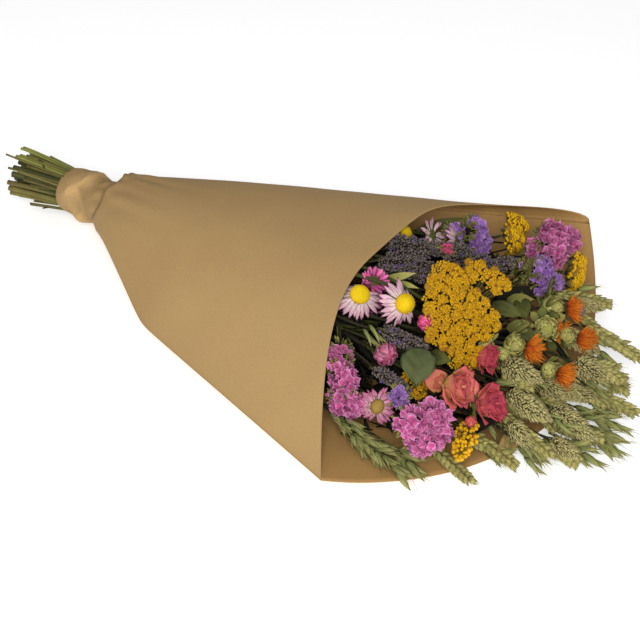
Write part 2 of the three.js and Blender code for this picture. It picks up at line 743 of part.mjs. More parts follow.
// The closest points of segments a-b and c-d: the shares along each, and from the first point
// to the second.
function closest(a, b, c, d) {
  const u = b.clone().sub(a);
  const v = d.clone().sub(c);
  const w = a.clone().sub(c);
  const [uu, uv, vv, uw, vw] = [u.dot(u), u.dot(v), v.dot(v), u.dot(w), v.dot(w)];
  const slant = uu * vv - uv * uv;
  const clip = (value) => Math.min(1, Math.max(0, value));
  let s = slant > 1e-6 ? clip((uv * vw - vv * uw) / slant) : 0.5;
  const t = clip((uv * s + vw) / vv);
  s = clip((uv * t - uw) / uu);
  const apart = c.clone().addScaledVector(v, t).sub(a).addScaledVector(u, -s);
  return { s, t, apart };
}

// The heights free for a thing of some radius inside the paper.
const SIDE_SHARE = 0.95; // of the half width, up to which things lie
const acrossAt = (x, y) => (y - middle(x)) / halfWidth(x, y - middle(x));
function room(x, y, radius) {
  const across = acrossAt(x, y);
  const inside = Math.abs(across) < 1;
  const low = inside && x < bottomLip(across) + radius ? bottomHeight(x, across) + PAPER : 1;
  const high = inside && x < topLip(across) + radius ? topHeight(x, across) - PAPER : 1e3;
  return [low + radius + GAP, high - radius - GAP];
}
function keepInside(p, radius) {
  if (p.x < SIDE_LIP_X.far + radius) {
    const side = Math.sign(p.y - middle(p.x)) || 1;
    const width = halfWidth(p.x, side) * SIDE_SHARE - radius - GAP;
    p.y = middle(p.x) + side * Math.min(width, Math.abs(p.y - middle(p.x)));
  }
  const [low, high] = room(p.x, p.y, radius);
  p.z = high > low ? Math.min(high, Math.max(low, p.z)) : (low + high) / 2;
}

// Heads that would cross are moved apart, and back towards their own places.
function shift(head, by) {
  head.place.add(by);
  for (const { a, b } of head.rods) {
    a.add(by);
    b.add(by);
  }
}
function arrange(heads) {
  const rounds = 160;
  const calm = 110; // after these rounds nothing pulls a head back to its own place
  const pushShare = 0.3; // of the depth by which two heads cross, per round
  const pullShare = 0.04; // of the way back to a head's own place
  for (let k = 0; k < rounds; k++) {
    for (let i = 0; i < heads.length; i++) {
      for (let j = i + 1; j < heads.length; j++) {
        let worst = 0;
        let push = null;
        for (const one of heads[i].rods) {
          for (const other of heads[j].rods) {
            const { apart } = closest(one.a, one.b, other.a, other.b);
            const depth = one.radius + other.radius + MARGIN - apart.length();
            if (depth > worst) {
              worst = depth;
              push = apart.normalize().multiplyScalar(depth * pushShare);
            }
          }
        }
        if (push) {
          shift(heads[i], push.clone().negate());
          shift(heads[j], push);
        }
      }
    }
    for (const head of heads) {
      for (const { a, b, radius } of head.rods) {
        for (const end of [a, b]) {
          const kept = end.clone();
          keepInside(kept, radius);
          shift(head, kept.sub(end).multiplyScalar(0.5));
        }
      }
      if (k < calm) shift(head, head.at.clone().sub(head.place).multiplyScalar(pullShare));
    }
  }
}

// Places where the stems pass the binding: a hexagonal packing, nearest the middle first.
function bindingSlots(count) {
  const slots = [];
  for (let q = -4; q <= 4; q++) {
    for (let r = -4; r <= 4; r++) {
      slots.push({ y: STEM_PITCH * (q + r / 2), z: (STEM_PITCH * r * Math.sqrt(3)) / 2 });
    }
  }
  const tieBreak = 1e-3; // orders slots that are equally far from the middle
  const reach = (s) => Math.hypot(s.y, s.z) + tieBreak * Math.atan2(s.z, s.y);
  return slots.sort((a, b) => reach(a) - reach(b)).slice(0, count);
}

// Each stem gets the slot that suits its direction, so that few stems would cross.
function assignSlots(plants) {
  const passes = 12;
  const [scaleY, scaleZ] = [42, 130]; // from the slope of a stem to its place in the bundle
  const slots = bindingSlots(plants.length);
  const wanted = plants.map(({ heads }) => {
    const n = heads.length;
    const y = heads.reduce((sum, { place }) => sum + place.y / place.x, 0) / n;
    const z = heads.reduce((sum, { place }) => sum + (place.z - BUNDLE_Z) / place.x, 0) / n;
    return { y: y * scaleY, z: z * scaleZ };
  });
  const cost = (i, s) => (wanted[i].y - slots[s].y) ** 2 + (wanted[i].z - slots[s].z) ** 2;
  const order = plants.map((_, i) => i);
  for (let pass = 0; pass < passes; pass++) {
    for (let i = 0; i < order.length; i++) {
      for (let j = i + 1; j < order.length; j++) {
        const now = cost(i, order[i]) + cost(j, order[j]);
        const swapped = cost(i, order[j]) + cost(j, order[i]);
        if (swapped < now - 1e-9) [order[i], order[j]] = [order[j], order[i]];
      }
    }
  }
  plants.forEach((plant, i) => (plant.slot = slots[order[i]]));
}

// A route runs from the cut end, through the binding and the neck, to the back of a head. A
// branch starts at one of the points of the first head's route.
const LEAD = 24; // straight stretch behind a head
const STEP = 62; // distance between the points of a route
const FIXED = 4; // cut end, behind the binding, at the binding and in the neck
function firstPoints({ slot }, draw) {
  const at = (x, grow, y = 0, z = 0) => {
    return vec(x, BUNDLE_Y + slot.y * grow + y, BUNDLE_Z + slot.z * grow + z);
  };
  const cut = CUT_X + CUT_SPREAD * (draw() - 0.5);
  const grow = 1 + SPLAY * (TIE_X - cut);
  const half = 1 + SPLAY * 30;
  const bend = [-8 + 7 * (draw() - 0.5), 5 * (draw() - 0.5)];
  return [at(cut, grow, ...bend), at(TIE_X - 32, half, -1, 0.3), at(TIE_X, 1), at(14, 1.06)];
}
function leadTo({ place, facing, bloom }, from) {
  const back = bloom.joint + (bloom.fused || bloom.green ? 0 : GAP);
  const end = place.clone().addScaledVector(facing, -back);
  const before = end.clone().addScaledVector(facing, -LEAD);
  const steps = Math.max(1, Math.round(before.distanceTo(from) / STEP));
  const between = Array.from({ length: steps - 1 }, (_, i) => from.clone().lerp(before, (i + 1) / steps));
  return [...between, before, end];
}
function routesOf(plant, index) {
  const draw = seeded(100 + index);
  const start = firstPoints(plant, draw);
  const [first, ...others] = plant.heads;
  const main = [...start, ...leadTo(first, start[start.length - 1])];
  const fork = Math.min(FIXED - 1 + (plant.fork ?? 1), main.length - 3);
  const routes = [{ plant, head: first, points: main, fixed: FIXED }];
  for (const head of others) {
    const root = main[fork];
    routes.push({ plant, head, points: [root, ...leadTo(head, root)], fixed: 0 });
  }
  for (const route of routes) {
    const count = route.points.length;
    const thick = route === routes[0] ? STEM_R : 1.3;
    const thin = route.head.bloom.fused ? 0.95 : 1.25;
    const taper = (i) => Math.max(0, (i - route.fixed + 1) / (count - route.fixed));
    route.radii = route.points.map((_, i) => lerp(thick, thin, taper(i)));
  }
  return routes;
}

// Stems are bent clear of each other, of the heads of other plants and of the paper.
function bendClear(routes, heads) {
  const rounds = 400;
  const easing = rounds * 0.7; // for these rounds the stems are also drawn straight
  const straighten = 0.04;
  const headPush = -0.7; // share of the depth by which a stem leaves a head, per round
  const segments = routes.flatMap((route) =>
    route.points.slice(1).map((_, i) => ({
      route,
      i,
      a: route.points[i],
      b: route.points[i + 1],
      radius: Math.max(route.radii[i], route.radii[i + 1]),
      held: [i > 0 && i < route.fixed, i + 1 < route.fixed || i + 2 === route.points.length],
    })),
  );
  const rods = heads.flatMap((head) => head.rods.map((r) => ({ ...r, head, plant: head.plant })));
  const far = (one, other, reach) =>
    Math.min(one.a.x, one.b.x) - reach > Math.max(other.a.x, other.b.x) ||
    Math.max(one.a.x, one.b.x) + reach < Math.min(other.a.x, other.b.x) ||
    Math.min(one.a.y, one.b.y) - reach > Math.max(other.a.y, other.b.y) ||
    Math.max(one.a.y, one.b.y) + reach < Math.min(other.a.y, other.b.y);
  const nudge = (segment, share, by) => {
    if (!segment.held[0]) segment.a.addScaledVector(by, 1 - share);
    if (!segment.held[1]) segment.b.addScaledVector(by, share);
  };
  const meets = (one, other) => {
    const reach = one.radius + other.radius + MARGIN;
    if (far(one, other, reach)) return null;
    const { s, t, apart } = closest(one.a, one.b, other.a, other.b);
    const depth = reach - apart.length();
    if (depth <= 0) return null;
    if (apart.length() < 1e-6) apart.set(0, 0.3, 1);
    return { s, t, push: apart.normalize().multiplyScalar(depth) };
  };
  for (let k = 0; k < rounds; k++) {
    for (let i = 0; i < segments.length; i++) {
      for (let j = i + 1; j < segments.length; j++) {
        if (segments[i].route.plant === segments[j].route.plant) continue;
        const met = meets(segments[i], segments[j]);
        if (!met) continue;
        nudge(segments[j], met.t, met.push.clone().multiplyScalar(0.5));
        nudge(segments[i], met.s, met.push.multiplyScalar(-0.5));
      }
      const last = segments[i].i + 3 >= segments[i].route.points.length;
      for (const thing of rods) {
        if (thing.head === segments[i].route.head && last) continue;
        if (thing.head.bloom.fused && thing.plant === segments[i].route.plant) continue;
        const met = meets(segments[i], thing);
        if (met) nudge(segments[i], met.s, met.push.multiplyScalar(headPush));
      }
    }
    for (const { points, fixed, radii } of routes) {
      for (let i = Math.max(fixed, 1); i < points.length - 1; i++) {
        const even = points[i - 1].clone().add(points[i + 1]).multiplyScalar(0.5);
        if (k < easing && i < points.length - 2) points[i].lerp(even, straighten);
        keepInside(points[i], radii[i]);
      }
    }
  }
}

// Build

const plants = PLANTS.map(({ stem, fork, heads }) => {
  const plant = { stem, fork };
  plant.heads = heads.map(([node, bloom, at, facing]) => {
    const head = { node, bloom, plant, at: vec(...at), place: vec(...at) };
    head.facing = vec(...facing).normalize();
    const frame = placement(head.place, head.facing);
    head.rods = bloom.rods.map(({ a, b, radius }) => {
      return { a: a.clone().applyMatrix4(frame), b: b.clone().applyMatrix4(frame), radius };
    });
    return head;
  });
  return plant;
});
const heads = plants.flatMap((plant) => plant.heads);
arrange(heads);
assignSlots(plants);
const routes = plants.flatMap(routesOf);
bendClear(routes, heads);

const bouquet = new THREE.Group();
bouquet.position.x = -REST_X;
const add = (name, solid, colour) => bouquet.add(meshOf(name, solid, colour));

add("paper_cone", shell(conePoint, 36, 9, PAPER), COLOURS.kraft);
add("paper_collar", shell(collarPoint, 20, 7, PAPER), COLOURS.collar);

// The binding fills the space between the outermost stems and the collar. Those stems stand in
// the third ring of the packing, the square root of 7 pitches from the middle.
const tieInner = Math.sqrt(7) * STEM_PITCH + STEM_R + GAP;
const tieOuter = PINCH_R - PAPER - 1.6 * GAP;
const tieRing = new THREE.TorusGeometry((tieInner + tieOuter) / 2, (tieOuter - tieInner) / 2, 6, 24);
tieRing.deleteAttribute("normal");
tieRing.deleteAttribute("uv");
tieRing.rotateY(Math.PI / 2).translate(TIE_X, BUNDLE_Y, BUNDLE_Z);
const twine = new THREE.MeshStandardMaterial({ color: COLOURS.twine, roughness: 0.9 });
const tie = new THREE.Mesh(tieRing, twine);
tie.name = "binding";
bouquet.add(tie);

for (const plant of plants) {
  const own = routes.filter((route) => route.plant === plant);
  const parts = own.map(({ points, radii }) => tube(points, radii));
  for (const { node, bloom, place, facing } of plant.heads) {
    if (bloom.fused) parts.push(placed(bloom.solid, place, facing));
    else add(node, placed(bloom.solid, place, facing), bloom.colour);
    if (bloom.green) parts.push(placed(bloom.green, place, facing));
  }
  const kind = ["lavender", "phalaris", "wheat", "oat"].find((name) => plant.stem.startsWith(name));
  add(plant.stem, union(parts), COLOURS[kind ?? "stem"]);
}

const discs = [
  ["daisy_disc_1", "daisy_petals_1", 7.5, 5],
  ["daisy_disc_2", "daisy_petals_2", 8, 9],
  ["daisy_disc_3", "daisy_petals_3", 7, 6],
  ["daisy_disc_4", "daisy_petals_4", 6, 4],
];
for (const [name, under, radius, height] of discs) {
  const { place, facing } = heads.find(({ node }) => node === under);
  add(name, placed(daisyDisc(radius, height), place, facing), COLOURS.disc);
}

export default bouquet;
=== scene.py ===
# Dresses the bouquet of dried flowers: every head, stalk and sheet of paper is made here in its
# fine form, in the place where the solids have it.
# Measures are millimetres in the bouquet's own frame: x from the neck, where the stems are bound,
# towards the flowers, y sideways and z up from the surface that it lies on. A mesh is turned into
# metres in the row's frame when it is made. A head's own Z is the way that it faces.

import math
from dataclasses import dataclass
from functools import partial

import bpy
import numpy as np
from mathutils import Matrix, Vector


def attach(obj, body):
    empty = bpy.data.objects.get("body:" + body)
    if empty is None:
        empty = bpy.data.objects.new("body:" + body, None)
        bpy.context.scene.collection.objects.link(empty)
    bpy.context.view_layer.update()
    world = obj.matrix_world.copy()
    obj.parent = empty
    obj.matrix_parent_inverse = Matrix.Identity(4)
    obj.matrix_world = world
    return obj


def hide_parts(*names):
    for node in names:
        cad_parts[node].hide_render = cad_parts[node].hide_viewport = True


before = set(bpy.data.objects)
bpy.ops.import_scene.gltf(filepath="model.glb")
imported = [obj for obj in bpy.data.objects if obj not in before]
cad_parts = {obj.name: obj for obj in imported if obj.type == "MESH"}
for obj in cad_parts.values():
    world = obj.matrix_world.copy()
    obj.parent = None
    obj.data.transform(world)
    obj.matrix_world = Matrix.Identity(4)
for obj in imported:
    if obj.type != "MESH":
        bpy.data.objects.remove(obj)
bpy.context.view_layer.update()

TAU = 2 * math.pi
MM = 0.001
GOLDEN = 2.39996  # the angle between one floret and the next on a spiral
UP = np.array([0, 0, 1.0])
LEAF_UP = np.array([0.4, -0.6, 0.7])  # the way that broad leaves turn their faces

# Driving dimensions, as in the solids.
REST_X = 230
BUNDLE_Y = -4
BUNDLE_Z = 35
PAPER = 0.9
GAP = 0.35
NECK_Y = -3.2
NECK_Z = 40
NECK_R = 28
CONE_START = 6
CONE_SLANT = 7
OPEN_X = 103
KINK_X = {"near": 122.5, "far": 80}
KINK_W = {"near": 112.5, "far": 70}
TOP_LIP_X = 283
BOTTOM_LIP_X = 470
SIDE_LIP_X = {"near": 357, "far": 394.6}
SIDE_LIP_W = {"near": 184, "far": 210}
TOP_Z = 86.8
SIDE_Z = {"near": 20, "far": 41}
FLAT_SHARE = {"near": 0.35, "far": 0.55}
STEM_PITCH = 5.2
STEM_R = 2.4
TIE_X = -15
PINCH_R = 20.6
CUT_X = -98
CUT_SPREAD = 28
SPLAY = 0.0052
MARGIN = 1.1

# Where the photograph was taken from, in the bouquet's frame.
VIEW_AZIMUTH = 33.35
VIEW_ELEVATION = 40
VIEW_DISTANCE = 1350
VIEW_TARGET = (265.4, -46.2, 45)
LENS = 89.16


# Shapes: points, triangles and, for each point, how far along its element it is and the
# element's tone, which the finishes read as colour.


FINISH_NAMES = []


def finish_number(name):
    if name not in FINISH_NAMES:
        FINISH_NAMES.append(name)
    return FINISH_NAMES.index(name)


class Shape:
    def __init__(self, points, faces, along=0.5, tone=0.5, finish=-1):
        self.points = np.asarray(points, float).reshape(-1, 3)
        self.faces = np.asarray(faces, int).reshape(-1, 3)
        self.along = np.broadcast_to(np.asarray(along, float), len(self.points)).copy()
        self.tone = np.broadcast_to(np.asarray(tone, float), len(self.points)).copy()
        self.finish = np.broadcast_to(np.asarray(finish, int), len(self.faces)).copy()

    def outward(self):
        a, b, c = (self.points[self.faces[:, k]] for k in range(3))
        if np.einsum("ij,ij->", a, np.cross(b, c)) < 0:
            self.faces = self.faces[:, ::-1].copy()
        return self

    def turned(self, matrix, origin=(0, 0, 0)):
        moved = self.points @ np.asarray(matrix, float).T + np.asarray(origin, float)
        return Shape(moved, self.faces, self.along, self.tone, self.finish)

    def shifted(self, x=0, y=0, z=0):
        return self.turned(np.eye(3), (x, y, z))

    def painted(self, name):
        return Shape(self.points, self.faces, self.along, self.tone, finish_number(name))

    def filled(self, name):
        """The same shape, with this finish where it has none yet."""
        finish = np.where(self.finish < 0, finish_number(name), self.finish)
        return Shape(self.points, self.faces, self.along, self.tone, finish)


def join(*shapes):
    counts = np.cumsum([0] + [len(s.points) for s in shapes[:-1]])
    return Shape(
        np.concatenate([s.points for s in shapes]),
        np.concatenate([s.faces + n for s, n in zip(shapes, counts)]),
        np.concatenate([s.along for s in shapes]),
        np.concatenate([s.tone for s in shapes]),
        np.concatenate([s.finish for s in shapes]),
    )


def stamp(shape, matrices, origins, tones=None):
    """A copy of the shape at each origin, turned and scaled by each matrix."""
    matrices = np.asarray(matrices, float)
    origins = np.asarray(origins, float)
    count, size = len(origins), len(shape.points)
    points = np.einsum("nij,kj->nki", matrices, shape.points) + origins[:, None, :]
    faces = shape.faces[None] + (np.arange(count) * size)[:, None, None]
    tone = np.tile(shape.tone, count) if tones is None else np.repeat(tones, size)
    return Shape(points, faces, np.tile(shape.along, count), tone, np.tile(shape.finish, count))


def unit(v):
    v = np.asarray(v, float)
    return v / np.maximum(np.linalg.norm(v, axis=-1, keepdims=True), 1e-12)


def facing_matrix(facing):
    """Columns X, Y and Z of a head that faces that way: X is level."""
    z = unit(facing)
    x = unit(np.cross((0, 0, 1), z))
    return np.stack([x, np.cross(z, x), z], axis=-1)


def shown_matrix(facing):
    """The same for a leaf, with its broad face, -X, turned up as far as it can be."""
    z = unit(facing)
    x = -unit(LEAF_UP - z * (z @ LEAF_UP))
    return np.stack([x, np.cross(z, x), z], axis=-1)


def frames(x, z):
    """Matrices whose X lies along x and whose Z is as near to z as it can be."""
    x = unit(x)
    y = unit(np.cross(z, x))
    return np.stack([x, y, np.cross(x, y)], axis=-1)


def spin(angle):
    c, s = math.cos(angle), math.sin(angle)
    return np.array([[c, -s, 0], [s, c, 0], [0, 0, 1.0]])


def circle(sides):
    return np.arange(sides) / sides * TAU


def ring(radius, height, angle):
    """Points round Z at those angles."""
    return np.stack([radius * np.cos(angle), radius * np.sin(angle), height + 0 * angle], -1)


def toward(angle):
    return np.array([math.cos(angle), math.sin(angle), 0])


def loft(rings, along, start=None, end=None):
    """A closed skin over rings of equally many points, with a point at each end."""
    rings = np.asarray(rings, float)
    n, k = rings.shape[:2]
    start = rings[0].mean(0) if start is None else start
    end = rings[-1].mean(0) if end is None else end
    points = np.concatenate([[start], rings.reshape(-1, 3), [end]])
    i, j = np.meshgrid(np.arange(n - 1), np.arange(k), indexing="ij")
    a, b = 1 + i * k + j, 1 + i * k + (j + 1) % k
    quads = np.stack([a, b, a + k, b, b + k, a + k], -1).reshape(-1, 3)
    j = np.arange(k)
    first = np.stack([0 * j, 1 + (j + 1) % k, 1 + j], -1)
    base = 1 + (n - 1) * k
    last = np.stack([0 * j + 1 + n * k, base + j, base + (j + 1) % k], -1)
    along = np.asarray(along, float)
    values = np.concatenate([[along[0]], np.repeat(along, k), [along[-1]]])
    return Shape(points, np.concatenate([quads, first, last]), values).outward()


def revolve(profile, sides, ruffle=0, waves=5):
    """Rings from (radius, height, along) rows, ruffled towards the wide end."""
    angle = circle(sides)
    rings = []
    for radius, height, along in profile:
        r = radius * (1 + ruffle * along * np.cos(waves * angle))
        rings.append(ring(r, height + ruffle * along * radius * 0.6 * np.sin(waves * angle + 1), angle))
    return loft(rings, [row[2] for row in profile])


def tube(points, radii, sides=6, along=None, phase=0.0):
    """A round tube through the points. Its sides turn as little as they can on the way."""
    points = np.asarray(points, float)
    ahead = unit(np.gradient(points, axis=0))
    u = np.zeros_like(points)
    reference = np.array([0.03, 1, 0.02])
    for i, way in enumerate(ahead):
        reference = unit(reference - way * (reference @ way))
        u[i] = reference
    v = np.cross(ahead, u)
    angle = (phase + circle(sides))[None, :, None]
    spokes = u[:, None] * np.cos(angle) + v[:, None] * np.sin(angle)
    rings = points[:, None] + spokes * np.broadcast_to(radii, len(points))[:, None, None]
    return loft(rings, np.linspace(0, 1, len(points)) if along is None else along)


def lamina(centre, thick, along):
    """A thin closed sheet about a grid of points: its two faces share their rim."""
    centre = np.asarray(centre, float)
    n, m = centre.shape[:2]
    normal = unit(np.cross(np.gradient(centre, axis=0), np.gradient(centre, axis=1)))
    inside = np.zeros((n, m))
    inside[1:-1, 1:-1] = thick / 2
    upper = (centre + normal * inside[..., None]).reshape(-1, 3)
    index = np.arange(n * m).reshape(n, m)
    below = index.copy()
    below[1:-1, 1:-1] = n * m + np.arange((n - 2) * (m - 2)).reshape(n - 2, m - 2)
    lower = (centre - normal * inside[..., None])[1:-1, 1:-1].reshape(-1, 3)
    faces = []
    for grid, flip in ((index, False), (below, True)):
        a, b, c, d = grid[:-1, :-1], grid[1:, :-1], grid[1:, 1:], grid[:-1, 1:]
        two = np.concatenate([np.stack(t, -1).reshape(-1, 3) for t in ((a, b, c), (a, c, d))])
        faces.append(two[:, ::-1] if flip else two)
    along = np.broadcast_to(along, (n, m))
    values = np.concatenate([along.ravel(), along[1:-1, 1:-1].ravel()])
    return Shape(np.concatenate([upper, lower]), np.concatenate(faces), values).outward()


def blade(
    length,
    width,
    rows=7,
    cols=5,
    start=0.0,
    foot=0.35,
    tip=0.2,
    widest=0.6,
    droop=0.0,
    cup=0.0,
    fold=0.0,
    wave=0.0,
    thick=0.35,
    notch=0.0,
):
    """A petal, bract or leaf along +X with its face up. Foot and tip are shares of the width."""
    u = np.linspace(0, 1, rows)[:, None]
    v = np.linspace(-1, 1, cols)[None, :]
    swell = np.sin(math.pi * u ** (math.log(0.5) / math.log(widest))) ** 0.8
    half = width / 2 * np.maximum(swell, foot + (tip - foot) * u)
    x = start + length * u * (1 - 0.1 * v**2 * u**3) - notch * length * np.cos(2.5 * math.pi * v) * u**6
    y = half * v
    z = droop * u**2 + cup * half * v**2 + fold * half * np.abs(v)
    z = z + wave * width * np.sin(5 * u + 2.2 * v) * u
    grid = np.stack([x + 0 * v, y, z + 0 * x], -1)
    return lamina(grid, thick, u + 0 * v)


def egg_spots(radius, length, rows, around, shoulder=1.0, last=0.95):
    """Staggered places on an egg: points, the ways towards its tip, outwards, and u."""
    first = 0.06
    made = []
    for i, u in enumerate(np.linspace(first, last, rows)):
        profile = [egg(radius, length, s, shoulder) for s in (u - 0.01, u, u + 0.01)]
        (r0, z0), (r, z), (r1, z1) = profile
        count = max(4, round(around * min(1, 0.35 + r / radius)))
        for j in range(count):
            a = (j + 0.5 * (i % 2)) / count * TAU
            way = np.array([math.cos(a), math.sin(a)])
            tangent = unit([(r1 - r0) * way[0], (r1 - r0) * way[1], z1 - z0])
            out = unit([(z1 - z0) * way[0], (z1 - z0) * way[1], r0 - r1])
            made.append(((r * way[0], r * way[1], z), tangent, out, u))
    points, ahead, out, u = (np.array(x) for x in zip(*made))
    return points, ahead, out, u


def egg(radius, length, u, shoulder=1.0):
    """Radius and height of an egg at the share u of its length: it is blunter than a sine."""
    u = min(max(u, 1e-4), 1 - 1e-4)
    return radius * math.sin(math.pi * u**shoulder) ** 0.6, length * (u - 0.5)


def lifted(ahead, out, lift):
    """Frames whose X runs along the surface, raised from it by the angle lift."""
    lift = np.broadcast_to(lift, len(ahead))[:, None]
    return frames(
        np.cos(lift) * ahead + np.sin(lift) * out,
        np.cos(lift) * out - np.sin(lift) * ahead,
    )


def core(radius, length, shoulder=1.0, sides=12, rows=8, along=0.0):
    """The plain egg that scales or florets stand on."""
    rings = [ring(*egg(radius, length, u, shoulder), circle(sides)) for u in np.linspace(0.02, 0.98, rows)]
    return loft(rings, [along] * rows)


def smooth_line(points, step):
    """A soft curve through the points, in steps of about that length."""
    p = np.array([points[0], *points, points[-1]], float)
    made = []
    for i in range(1, len(p) - 2):
        count = max(1, round(np.linalg.norm(p[i + 1] - p[i]) / step))
        t = (np.arange(count) / count)[:, None]
        a, b, c, d = p[i - 1 : i + 3]
        square = 2 * a - 5 * b + 4 * c - d
        cube = 3 * b - a - 3 * c + d
        made.append(0.5 * (2 * b + (c - a) * t + square * t**2 + cube * t**3))
    return np.concatenate([*made, p[-1:]])


# Blooms, each about the middle of the head with +Z the way it faces.

EAR_AXIS = [0.9, 0.8, 0.5]  # radii of the axis of an ear or spray, from its foot to its tip


def floret():
    """One knob of a yarrow head: a small crown round a sunk middle."""
    profile = [
        (0.4, -1.8, 1.0),
        (1.08, -0.4, 0.66),
        (1.04, 0.35, 0.42),
        (0.66, 0.62, 0.26),
        (0.22, 0.3, 0.04),
    ]
    return revolve(profile, 5, 0.06, 2)


def yarrow(radius, pitch, clump, seed, domes, knob, bulge=0.2):
    """Knobs a pitch apart, in clumps over one or more flat domes."""
    draw = np.random.default_rng(seed)
    domes = np.array(domes, float)

    def covered(spots):
        """Whether each spot is on a dome, how high it is there, and which way it leans."""
        away = spots[:, None] - domes[None, :, :2]
        angle = np.arctan2(away[..., 1], away[..., 0])
        wavy = 1 + 0.06 * np.cos(3 * angle + seed) + 0.05 * np.cos(5 * angle + domes[:, 0])
        share = np.linalg.norm(away, axis=-1) / (domes[:, 2] * wavy)
        rise = np.where(share < 1, domes[:, 3] + bulge * domes[:, 2] * (1 - share**2), -99)
        best = rise.argmax(1)
        index = np.arange(len(spots))
        lean = away[index, best] / domes[best, 2:3]
        return share.min(1) < 1, rise[index, best], lean

    def net(step, jitter):
        """Uneven places on a triangular net, where there are domes."""
        reach = int(2.2 * radius / step) + 1
        q, r = np.meshgrid(np.arange(-reach, reach + 1), np.arange(-reach, reach + 1))
        spots = np.stack([step * (q + r / 2), step * r * math.sqrt(3) / 2], -1).reshape(-1, 2)
        spots = spots + draw.normal(0, jitter * step, spots.shape)
        inside, rise, lean = covered(spots)
        return spots[inside], rise[inside], lean[inside]

    spots, rise, tilt = net(pitch, 0.12)
    middles, middle_rise, _ = net(clump, 0.22)
    apart = np.linalg.norm(spots[:, None] - middles[None], axis=-1)
    order = np.argsort(apart, axis=1)
    near = np.take_along_axis(apart, order[:, :2], axis=1)
    kept = near[:, 1] - near[:, 0] > 0.2 * pitch
    spots, rise, tilt, near, own = spots[kept], rise[kept], tilt[kept], near[kept], order[kept, 0]
    lift = draw.uniform(-1.5, 1.5, len(middles))
    fall = 0.085 * near[:, 0] ** 2 * (9 / clump) ** 2
    height = rise + 2.0 + lift[own] - fall + draw.normal(0, 0.18, len(spots))
    lean = 0.4 * tilt + 0.1 * (spots - middles[own])
    axis = unit(np.column_stack([lean, np.ones(len(spots))]))
    turn = draw.uniform(0, TAU, len(spots))
    side = np.column_stack([np.cos(turn), np.sin(turn), 0 * turn])
    size = draw.uniform(0.86, 1.14, len(spots)) * knob
    matrices = frames(side, axis) * size[:, None, None]
    tones = 0.6 * draw.random(len(spots)) + 0.4 * draw.random(len(middles))[own]
    parts = [stamp(floret(), matrices, np.column_stack([spots, height]), tones)]
    root = np.array([0, 0, -0.4 * radius + 1])
    wide = clump * 0.5
    under = [(0.7, -6.5, 1), (wide * 0.5, -3, 0.9), (wide * 0.95, 0.4, 0.6), (wide, 1.8, 0.1)]
    cup = revolve([*under, (wide * 0.6, 2.6, 0)], 8)
    for (x, y), rise_here, up_by in zip(middles, middle_rise, lift):
        top = np.array([x, y, rise_here + up_by - 2.2])
        parts.append(cup.shifted(*top).painted("cup"))
        bend = root + (top - root) * (0.5, 0.5, 0.35)
        parts.append(tube([root, bend, top - (0, 0, 6)], [0.7, 0.75, 0.8], 5, [1, 1, 0.9]).painted("cup"))
    parts.append(tube([(0, 0, -0.4 * radius - 1.5), root + (0, 0, 1)], 1.3, 6).painted("stem"))
    return join(*parts)


# Domes of a yarrow head: x, y, radius and lift.
BIG_DOMES = [
    (-6, 2, 29, 0.5),
    (35, 20, 10, -1),
    (19, 32, 10, -1.5),
    (-8, 28, 17, 0),
    (-5, -30, 15, -0.5),
    (12, -8, 17, 1),
]
THREE_DOMES = [(-7, 0, 12, 0), (7, 2, 13, 1), (0, -9, 10, -1)]
TWO_DOMES = [(-6, 0, 13, 0), (8, 1, 12, 1)]
ONE_DOME = [(0, 0, 13, 0)]


def daisy(count, length, droop, seed, spread=((0, 360),)):
    """Rows of narrow papery petals on a green receptacle. Those outside the spread, given as
    angles in degrees from the right, are shorter and folded back."""
    draw = np.random.default_rng(seed)
    width = 4.1
    short = 0.75
    fold_back = 11
    base = [(1.6, -4, 0), (5, -2.8, 0), (6.4, -0.9, 0.05), (4, -0.4, 0.1)]
    parts = [revolve(base, 14).painted("green")]
    rows = [(count, 1.0, 0.0, 0.0), (count, 0.9, 0.6, 0.5), (count - 3, 0.72, 1.1, 0.25)]
    for number, share, lift, turn in rows:
        for k in range(number):
            a = (k + turn) / number * 360 + draw.normal(0, 5)
            shown = any((a - low) % 360 <= high - low for low, high in spread)
            petal = blade(
                length * share * draw.uniform(0.86, 1.1) * (1 if shown else short),
                width * draw.uniform(0.75, 1.2),
                rows=8,
                cols=5,
                start=4.2,
                foot=0.55,
                tip=0.3,
                widest=0.6,
                droop=droop + draw.normal(0, 1.6) - (0 if shown else fold_back),
                cup=draw.uniform(-0.2, 0.45),
                notch=0.03,
                wave=0.07,
                thick=0.3,
            )
            petal.tone[:] = draw.random()
            parts.append(petal.shifted(z=lift - 1.5).turned(spin(math.radians(a))))
    bracts = 14
    for k in range(bracts):
        a = (k + draw.random()) / bracts * TAU
        droop = draw.uniform(-0.6, 0.8)
        bract = blade(2.2, 1.2, rows=4, cols=3, start=6.6, droop=droop, tip=0.1, thick=0.3)
        bract.tone[:] = draw.random()
        parts.append(bract.shifted(z=-1.2).turned(spin(a)).painted("green"))
    return join(*parts)


